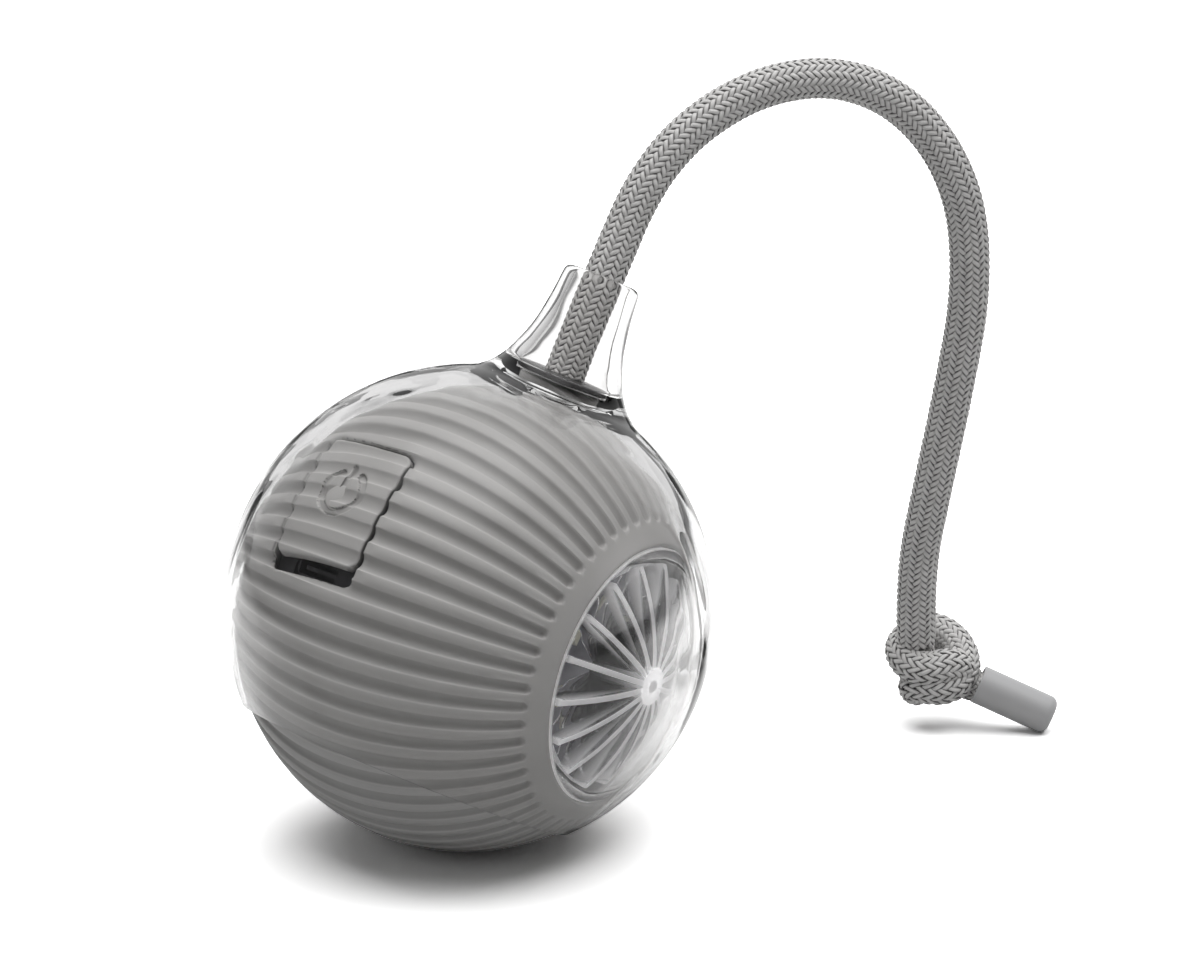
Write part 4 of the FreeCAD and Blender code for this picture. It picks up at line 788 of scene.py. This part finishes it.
# Button panel. A grey silicone key that carries the ribs on, softer, across its
# face. It stands in the window on a stem, and has the power sign sunk in it.
soft_ribs = 0.45 * mm
panel_drop = 0.08 * mm
panel_thick = 0.85 * mm
panel_skin = 38.3 * mm
grid_step = 0.15 * mm
sign_x = -9.4 * mm
sign_y = 1.1 * mm
sign_radius = 3.95 * mm
sign_stroke = 0.62 * mm
sign_wall = 0.18 * mm
sign_depth = 0.42 * mm
sign_gap = 31
bar_foot = -0.1 * mm
bar_top = 4.6 * mm
bar_thinner = 0.14 * mm
stem_radius = 2.4 * mm
stem_length = 6.3 * mm
stem_middle = 35.15 * mm
stem_round = 0.3 * mm


def sign_level(x, y):
    """How deep the power sign is at a place on the panel, from 0 to 1."""
    x, y = x - sign_x, y - sign_y
    radius = math.hypot(x, y)
    angle = math.degrees(math.atan2(x, y))
    ring = abs(radius - sign_radius)
    if abs(angle) < sign_gap:
        end = math.radians(sign_gap)
        ring = min(
            math.hypot(x - sign_radius * math.sin(end), y - sign_radius * math.cos(end)),
            math.hypot(x + sign_radius * math.sin(end), y - sign_radius * math.cos(end)))
    bar = math.hypot(x, y - min(max(y, bar_foot), bar_top)) + bar_thinner
    wall = (min(ring, bar) - sign_stroke) / sign_wall
    wall = min(1.0, max(0.0, wall + 0.5))
    return 1 - wall * wall * (3 - 2 * wall)


columns = int((panel_near - panel_far) / grid_step) + 6
rows = int((panel_high - panel_low) / grid_step) + 6
bpy.ops.object.select_all(action="DESELECT")
bpy.ops.mesh.primitive_grid_add(x_subdivisions=columns, y_subdivisions=rows, size=1)
panel = bpy.context.object
panel.name = "panel"
panel.data.transform(
    Matrix.Translation(((panel_near + panel_far) / 2, (panel_high + panel_low) / 2, ball_radius))
    @ Matrix.Diagonal((panel_near - panel_far + 0.6 * mm, panel_high - panel_low + 0.6 * mm, 1, 1)))
bpy.ops.object.mode_set(mode="EDIT")
bpy.ops.mesh.select_all(action="SELECT")
bpy.ops.mesh.extrude_region_move(TRANSFORM_OT_translate={"value": (0, 0, -panel_thick)})
bpy.ops.mesh.select_all(action="SELECT")
bpy.ops.mesh.normals_make_consistent(inside=False)
bpy.ops.object.mode_set(mode="OBJECT")
for vertex in panel.data.vertices:
    place = vertex.co
    top = place.z > ball_radius - panel_thick / 2
    direction = Vector((place.x, place.y, math.sqrt(ball_radius ** 2 - place.x ** 2 - place.y ** 2)))
    radius = tread_radius(back @ direction, soft_ribs)[0] - panel_drop
    if not top:
        radius = ball_radius - rib_height - panel_thick
    direction *= radius / direction.length
    if top:
        direction -= direction.normalized() * sign_depth * sign_level(place.x, place.y)
    vertex.co = direction
combined(panel, key_block(*panel_edge, 20 * mm, 50 * mm), "INTERSECT")
eased(panel.data, panel_edge, -1, 0.5 * mm, 0.35 * mm, panel_skin - 0.1 * mm)
painted_light_marks(panel, back, soft_ribs)
# Painted shade in the panel's gap and on its sides; round the sunk power sign, a painted highlight on the
# brow and painted shade on the wall.
for vertex, mark in zip(panel.data.vertices, panel.data.attributes["painted_light_and_shade"].data):
    place = vertex.co
    if place.length < panel_skin or outside_of(place.x, place.y, *panel_edge) > -gap_line:
        mark.value = gap_shade
    else:
        sunk = sign_level(place.x, place.y)
        brow = max(0.0, 1 - abs(sunk - 0.1) * 12)
        wall = max(0.0, 1 - abs(sunk - 0.65) * 2.6)
        mark.value += 1.5 * brow - 3.4 * wall
panel.data.transform(ball_frame @ back)
smooth(panel, 50)
coat(panel, silicone_finish)
shown(panel, "power_button", "tread_silicone")
bpy.ops.mesh.primitive_cylinder_add(vertices=40, radius=stem_radius, depth=stem_length)
stem = bpy.context.object
stem.name = "panel_stem"
modifier = stem.modifiers.new("round", "BEVEL")
modifier.width = stem_round
modifier.segments = 3
bpy.ops.object.modifier_apply(modifier="round")
stem.data.transform(ball_frame @ back @ Matrix.Translation(
    ((panel_near + panel_far) / 2, (panel_high + panel_low) / 2, stem_middle)))
smooth(stem)
coat(stem, silicone_finish)
shown(stem, "power_button", "tread_silicone", "power_button")

# Domes. Clear moulded caps behind which the lamps sit, one at each pole. Each
# has a flange that is clamped inside the housing against a rubber seal.
dome_radius = 39.3 * mm
dome_wall = 1.6 * mm
skirt_radius = 22.1 * mm
flange_radius = 24.3 * mm
flange_face = 24.65 * mm
flange_thick = 1.45 * mm
dome_round = 0.3 * mm
axis_hole = 0.02 * mm
poles = {
    "right": ball_frame,
    "left": ball_frame @ Matrix.Rotation(math.pi, 4, "Z"),
}
dome_inner = dome_radius - dome_wall
skirt_inner = skirt_radius - dome_wall
skirt_edge = math.degrees(math.acos(skirt_radius / dome_radius))
skirt_height = dome_radius * math.sin(math.radians(skirt_edge))
inner_edge = math.degrees(math.acos(skirt_inner / dome_inner))
inner_height = dome_inner * math.sin(math.radians(inner_edge))
dome_outline = [(axis_hole, dome_radius)] + arc((0, 0), dome_radius, 89, skirt_edge + 0.7, 30)
dome_outline += [
    (skirt_radius - 0.12 * mm, skirt_height - 0.05 * mm), (skirt_radius, skirt_height - dome_round),
    (skirt_radius, flange_face + dome_round * 0.6), (skirt_radius + dome_round * 0.6, flange_face),
    (flange_radius - dome_round, flange_face), (flange_radius, flange_face - dome_round),
    (flange_radius, flange_face - flange_thick), (skirt_inner, flange_face - flange_thick),
    (skirt_inner, inner_height - 0.6 * mm),
]
dome_outline += arc((0, 0), dome_inner, inner_edge + 1.2, 89, 30) + [(axis_hole, dome_inner)]
dome_finish = clear("clear_polycarbonate", (0.99, 0.99, 0.995), 0.0, 1.49, edges="painted_edge_glint")
dome_finish.bump(dome_finish.noise(dome_finish.place(), 70.0, 1.0), 0.12, 0.0003)
for hand, frame_here in poles.items():
    cap = spun("dome_cap_" + hand, dome_outline, 160, frame_here @ pole_way)
    smooth(cap)
    # The outer edge of the skirt gets a painted glint.
    glints = cap.data.attributes.new("painted_edge_glint", "FLOAT", "POINT")
    for vertex, glint in zip(cap.data.vertices, glints.data):
        place = frame_here.inverted() @ vertex.co
        on_edge = abs(math.hypot(place.y, place.z) - skirt_radius) < 0.14 * mm
        glint.value = 0.75 if on_edge and abs(place.x) > dome_radius * 0.8 else 0.0
    coat(cap, dome_finish)
    shown(cap, "ball", "clear_plastic", "dome_" + hand)

# Lenses. A clear wheel under each dome spreads the lamps' light: a hub, thin
# upright fins with rounded edges and a rim, moulded in one piece.
lens_radius = 19.8 * mm
lens_wall = 1.4 * mm
lens_hub = 3.2 * mm
lens_envelope = 37.0 * mm
lens_floor = 27.4 * mm
lens_foot = 24.2 * mm
lens_rim_top = 29.2 * mm
fin_count = 16
fin_thick = 1.2 * mm
fin_edge = 0.3 * mm
fin_foot = 1.0 * mm
fin_reach = lens_radius - 0.5 * mm
lens_turn = 1
hub_rise = 0.05 * mm
hub_drop = 0.2 * mm


def fin_plate(name, frame_here):
    """One fin: an upright plate whose outer edge follows the dome."""
    first, last = (math.degrees(math.acos(reach / lens_envelope)) for reach in (fin_reach, fin_foot))
    places = [(fin_foot, lens_floor), (fin_reach, lens_floor)]
    places += arc((0, 0), lens_envelope, first, last, 14)
    bpy.ops.mesh.primitive_circle_add(vertices=len(places), fill_type="NGON")
    fin = bpy.context.object
    fin.name = name
    for vertex, (reach, height) in zip(fin.data.vertices, places):
        vertex.co = (reach, -fin_thick / 2, height)
    bpy.ops.object.mode_set(mode="EDIT")
    bpy.ops.mesh.select_all(action="SELECT")
    bpy.ops.mesh.extrude_region_move(TRANSFORM_OT_translate={"value": (0, fin_thick, 0)})
    bpy.ops.mesh.select_all(action="SELECT")
    bpy.ops.mesh.normals_make_consistent(inside=False)
    bpy.ops.object.mode_set(mode="OBJECT")
    modifier = fin.modifiers.new("edge", "BEVEL")
    modifier.width = fin_edge
    modifier.segments = 3
    modifier.limit_method = "ANGLE"
    modifier.angle_limit = math.radians(50)
    bpy.ops.object.modifier_apply(modifier="edge")
    fin.data.transform(frame_here)
    return fin


def joined(name, things):
    bpy.ops.object.select_all(action="DESELECT")
    for thing in things:
        thing.select_set(True)
    bpy.context.view_layer.objects.active = things[0]
    bpy.ops.object.join()
    things[0].name = name
    things[0].data.name = name
    return things[0]


hub_foot = lens_floor - hub_drop
hub_top = lens_envelope + hub_rise
hub_outline = [(axis_hole, hub_foot), (lens_hub - fin_edge, hub_foot), (lens_hub, hub_foot + fin_edge)]
hub_outline += arc((0, 0), hub_top, math.degrees(math.acos(lens_hub / lens_envelope)), 89, 6)
hub_outline += [(axis_hole, hub_top)]
rim_inside = lens_radius - lens_wall
rim_outline = [
    (rim_inside, lens_foot), (lens_radius, lens_foot), (lens_radius, lens_rim_top - fin_edge),
    (lens_radius - fin_edge, lens_rim_top), (rim_inside + fin_edge, lens_rim_top),
    (rim_inside, lens_rim_top - fin_edge),
]
lens_finish = clear("clear_lens", (0.99, 0.99, 0.995), 0.02, 1.49, edges="painted_edge_glint")
lens_finish.bump(lens_finish.noise(lens_finish.place(), 220.0, 2.0), 0.15, 0.0002)
half_turn = Matrix.Rotation(math.pi, 4, "Z")
for hand, frame_here in poles.items():
    lens_parts = [
        spun("lens_hub_" + hand, hub_outline, 64, frame_here @ pole_way),
        spun("lens_rim_" + hand, rim_outline, 128, frame_here @ pole_way),
    ]
    for i in range(fin_count):
        turn = Matrix.Rotation(math.radians(i * 360 / fin_count + lens_turn), 4, "X")
        lens_parts.append(fin_plate("lens_fin", frame_here @ turn @ pole_way @ half_turn))
    wheel = joined("lens_wheel_" + hand, lens_parts)
    smooth(wheel)
    # The rim's top and the fins' outer edges get a painted glint.
    glints = wheel.data.attributes.new("painted_edge_glint", "FLOAT", "POINT")
    for vertex, glint in zip(wheel.data.vertices, glints.data):
        place = frame_here.inverted() @ vertex.co
        out = math.hypot(place.y, place.z)
        on_rim = out > rim_inside - 0.1 * mm and abs(place.x) > lens_rim_top - 0.1 * mm
        on_fin = place.length > lens_envelope - 0.12 * mm
        glint.value = 0.8 if on_rim or on_fin else 0.0
    coat(wheel, lens_finish)
    shown(wheel, "ball", "clear_plastic", "lens_" + hand)

# Boards and lamps. Grey boards lie behind the lenses, with six pale lamps each.
# Three smaller ones, nearly black, carry the drive's parts, the switch and the
# charging socket. Their copper tracks show as a faint pattern.
board_finish = Finish("circuit_board", (0.26, 0.255, 0.29), 0.35)
tracks = board_finish.noise(board_finish.place(), 300.0, 5.0)
board_finish.paint("Base Color", board_finish.mix(tracks, (0.19, 0.185, 0.215), (0.33, 0.325, 0.36)))
board_finish.paint("Roughness", tracks * 0.3 + 0.25)
for name in ("led_board_left", "led_board_right"):
    coat(frame["nodes"][name], board_finish)
drive_board = Finish("drive_board", (0.03, 0.036, 0.033), 0.4)
tracks = drive_board.noise(drive_board.place(), 300.0, 5.0)
drive_board.paint("Base Color", drive_board.mix(tracks, (0.015, 0.02, 0.017), (0.05, 0.058, 0.052)))
for name in ("main_board", "button_board", "charge_board"):
    coat(frame["nodes"][name], drive_board)
lamp_finish = Finish("led_lens", (0.78, 0.76, 0.62), 0.2)
phosphor = lamp_finish.noise(lamp_finish.place(), 500.0)
lamp_finish.paint("Base Color", lamp_finish.mix(phosphor, (0.72, 0.69, 0.5), (0.88, 0.87, 0.8)))
for name in ("leds_left", "leds_right"):
    coat(frame["nodes"][name], lamp_finish)


# Housing and drive. A black housing in two halves under the tread, and inside it
# plastic frames and gears, steel screws and shafts, brass bushes and the weight.
def moulded(name, colour, roughness, fine):
    """Moulded plastic with a fine spark-eroded grain."""
    finish = Finish(name, colour, roughness)
    grain = finish.noise(finish.place(), fine, 3.0)
    finish.paint("Roughness", grain * 0.2 + roughness - 0.1)
    return finish.bump(grain, 0.2, 0.00003)


def metal(name, colour, roughness, lines):
    """Bare metal with fine tool lines and a few dull patches."""
    finish = Finish(name, colour, roughness, Metallic=1.0)
    patches = finish.noise(finish.place(), 120.0, 3.0)
    marks = finish.noise(finish.place(), lines, 1.0)
    finish.paint("Roughness", patches * 0.2 + roughness - 0.1)
    return finish.bump(marks, 0.15, 0.00002)


inner_finishes = [
    (moulded("housing_plastic", (0.03, 0.03, 0.034), 0.5, 900.0),
     ("housing_left", "housing_right", "bulkhead_left", "bulkhead_right")),
    (moulded("seal_rubber", (0.02, 0.02, 0.02), 0.75, 1500.0),
     ("housing_seal", "dome_seal_left", "dome_seal_right")),
    (moulded("gear_plastic", (0.68, 0.67, 0.62), 0.4, 700.0),
     ("gear_frame", "output_gear", "cluster_gear", "battery_tray", "battery_clamp")),
    (moulded("switch_plastic", (0.04, 0.04, 0.04), 0.4, 900.0), ("tact_switch", "switch_plunger")),
    (moulded("battery_wrap", (0.36, 0.38, 0.42), 0.3, 150.0), ("battery_cell",)),
    (metal("screw_steel", (0.5, 0.5, 0.5), 0.3, 2000.0),
     ("housing_screws", "frame_screws", "tray_screws", "motor_screws", "board_screws")),
    (metal("motor_steel", (0.5, 0.5, 0.49), 0.35, 900.0),
     ("drive_motor", "motor_shaft", "cluster_pin", "output_shaft", "retaining_rings")),
    (metal("socket_steel", (0.1, 0.1, 0.105), 0.4, 900.0), ("charge_socket",)),
    (metal("brass", (0.62, 0.46, 0.2), 0.3, 1200.0), ("motor_pinion", "bush_left", "bush_right")),
    (metal("weight_steel", (0.2, 0.2, 0.21), 0.55, 400.0), ("swing_weight",)),
]
for finish, names in inner_finishes:
    for name in names:
        coat(frame["nodes"][name], finish)

# Studio. A white paper floor and a white surround, one wide soft lamp overhead
# and a weak one on the left. What the clear parts mirror and bend is bright
# behind and overhead and darker in front and far off, so that their edges show.
bpy.ops.mesh.primitive_plane_add(size=8, location=(0, 0, 0))
floor = bpy.context.object
floor.name = "floor"
floor_finish = Finish("floor_paper", (0.96, 0.96, 0.96), 1.0, Specular_IOR_Level=0.0)
paper = floor_finish.noise(floor_finish.place(), 30.0)
seen = floor_finish.node("ShaderNodeLightPath", {}, (), "Is Camera Ray")
mirrored = Wire(floor_finish, seen.socket.node.outputs["Is Glossy Ray"])
bounced = Wire(floor_finish, seen.socket.node.outputs["Is Diffuse Ray"])
bent = Wire(floor_finish, seen.socket.node.outputs["Is Transmission Ray"])
forward = floor_finish.node("ShaderNodeSeparateXYZ", {}, [floor_finish.place()], "Y")
near = floor_finish.node("ShaderNodeMapRange", {}, {
    "Value": forward, "From Min": 0.03, "From Max": -0.05, "To Min": 0.0, "To Max": 1.0})
distance = floor_finish.node("ShaderNodeVectorMath", {"operation": "DISTANCE"}, {
    0: floor_finish.place(), 1: (0.0, 0.14, 0.0)}, "Value")
far_off = floor_finish.node("ShaderNodeMapRange", {}, {
    "Value": distance, "From Min": 0.3, "From Max": 0.5, "To Min": 0.0, "To Max": 0.85})
dark = mirrored * (near * (0.9 - bent * 0.28)).larger(far_off) + bounced * 0.5
white = floor_finish.mix(paper, (0.955, 0.955, 0.955), (0.965, 0.965, 0.965))
floor_finish.paint("Base Color", floor_finish.mix(dark, white, (0.02, 0.02, 0.02)))
coat(floor, floor_finish)
backdrop = floor_finish.node("ShaderNodeBsdfDiffuse", {}, [
    floor_finish.mix(seen, (0, 0, 0), (0.75, 0.75, 0.75))])
paper_and_backdrop = floor_finish.node("ShaderNodeAddShader", {}, [
    Wire(floor_finish, floor_finish.shader.outputs[0]), backdrop])
floor_finish.join(floor_finish.output.inputs["Surface"], paper_and_backdrop)
studio = bpy.data.worlds.new("studio")
studio.use_nodes = True
scene.world = studio
links = studio.node_tree.links


def sky_node(kind, settings, numbers, links_in):
    """One node of the surround, its inputs set by name to numbers or linked."""
    node = studio.node_tree.nodes.new(kind)
    for name, value in settings.items():
        setattr(node, name, value)
    for name, value in numbers.items():
        node.inputs[name].default_value = value
    for name, source in links_in.items():
        links.new(source, node.inputs[name])
    return node


sight = sky_node("ShaderNodeLightPath", {}, {}, {})
where = sky_node("ShaderNodeTexCoord", {}, {}, {})
split = sky_node("ShaderNodeSeparateXYZ", {}, {}, {"Vector": where.outputs["Generated"]})
behind = sky_node("ShaderNodeMapRange", {}, {
    "From Min": 0.3, "From Max": 0.95, "To Min": 0.04, "To Max": 0.8}, {"Value": split.outputs["Y"]})
above = sky_node("ShaderNodeMapRange", {}, {
    "From Min": 0.84, "From Max": 0.95, "To Min": 0.0, "To Max": 1.0}, {"Value": split.outputs["Z"]})
beside = sky_node("ShaderNodeMapRange", {}, {
    "From Min": 0.86, "From Max": 0.93, "To Min": 0.0, "To Max": 0.8}, {"Value": split.outputs["X"]})
least = sky_node("ShaderNodeMapRange", {}, {"To Min": 0.0, "To Max": 0.22}, {
    "Value": sight.outputs["Is Transmission Ray"]})
level = behind
for other in (above, beside, least):
    level = sky_node("ShaderNodeMath", {"operation": "MAXIMUM"}, {}, {
        0: level.outputs[0], 1: other.outputs[0]})
grey = sky_node("ShaderNodeCombineColor", {}, {}, {
    "Red": level.outputs[0], "Green": level.outputs[0], "Blue": level.outputs[0]})
white_wall = sky_node("ShaderNodeBackground", {}, {"Color": (1, 1, 1, 1), "Strength": 1.0}, {})
soft_light = sky_node("ShaderNodeBackground", {}, {"Color": (1, 1, 1, 1), "Strength": 0.1}, {})
reflection = sky_node("ShaderNodeBackground", {}, {"Strength": 1.0}, {"Color": grey.outputs[0]})
surround = sky_node("ShaderNodeMixShader", {}, {}, {
    "Fac": sight.outputs["Is Glossy Ray"], 1: soft_light.outputs[0], 2: reflection.outputs[0]})
surround = sky_node("ShaderNodeMixShader", {}, {}, {
    "Fac": sight.outputs["Is Camera Ray"], 1: surround.outputs[0], 2: white_wall.outputs[0]})
links.new(surround.outputs[0], studio.node_tree.nodes["World Output"].inputs["Surface"])


def lamp(name, place, target, width, power):
    """A square soft lamp turned to its target, which clear parts don't mirror."""
    data = bpy.data.lights.new(name, "AREA")
    data.shape = "SQUARE"
    data.size = width
    data.energy = power
    holder = bpy.data.objects.new(name, data)
    holder.location = place
    holder.rotation_euler = (Vector(target) - Vector(place)).to_track_quat("-Z", "Y").to_euler()
    holder.visible_glossy = False
    holder.visible_transmission = False
    scene.collection.objects.link(holder)


lamp("key_lamp", (0.2, 0.15, 2.4), (0.02, 0, 0.06), 3.4, 110)
lamp("fill_lamp", (-1.1, -1.6, 1.2), (0, 0, 0.05), 0.8, 2)
scene.view_settings.view_transform = "Standard"
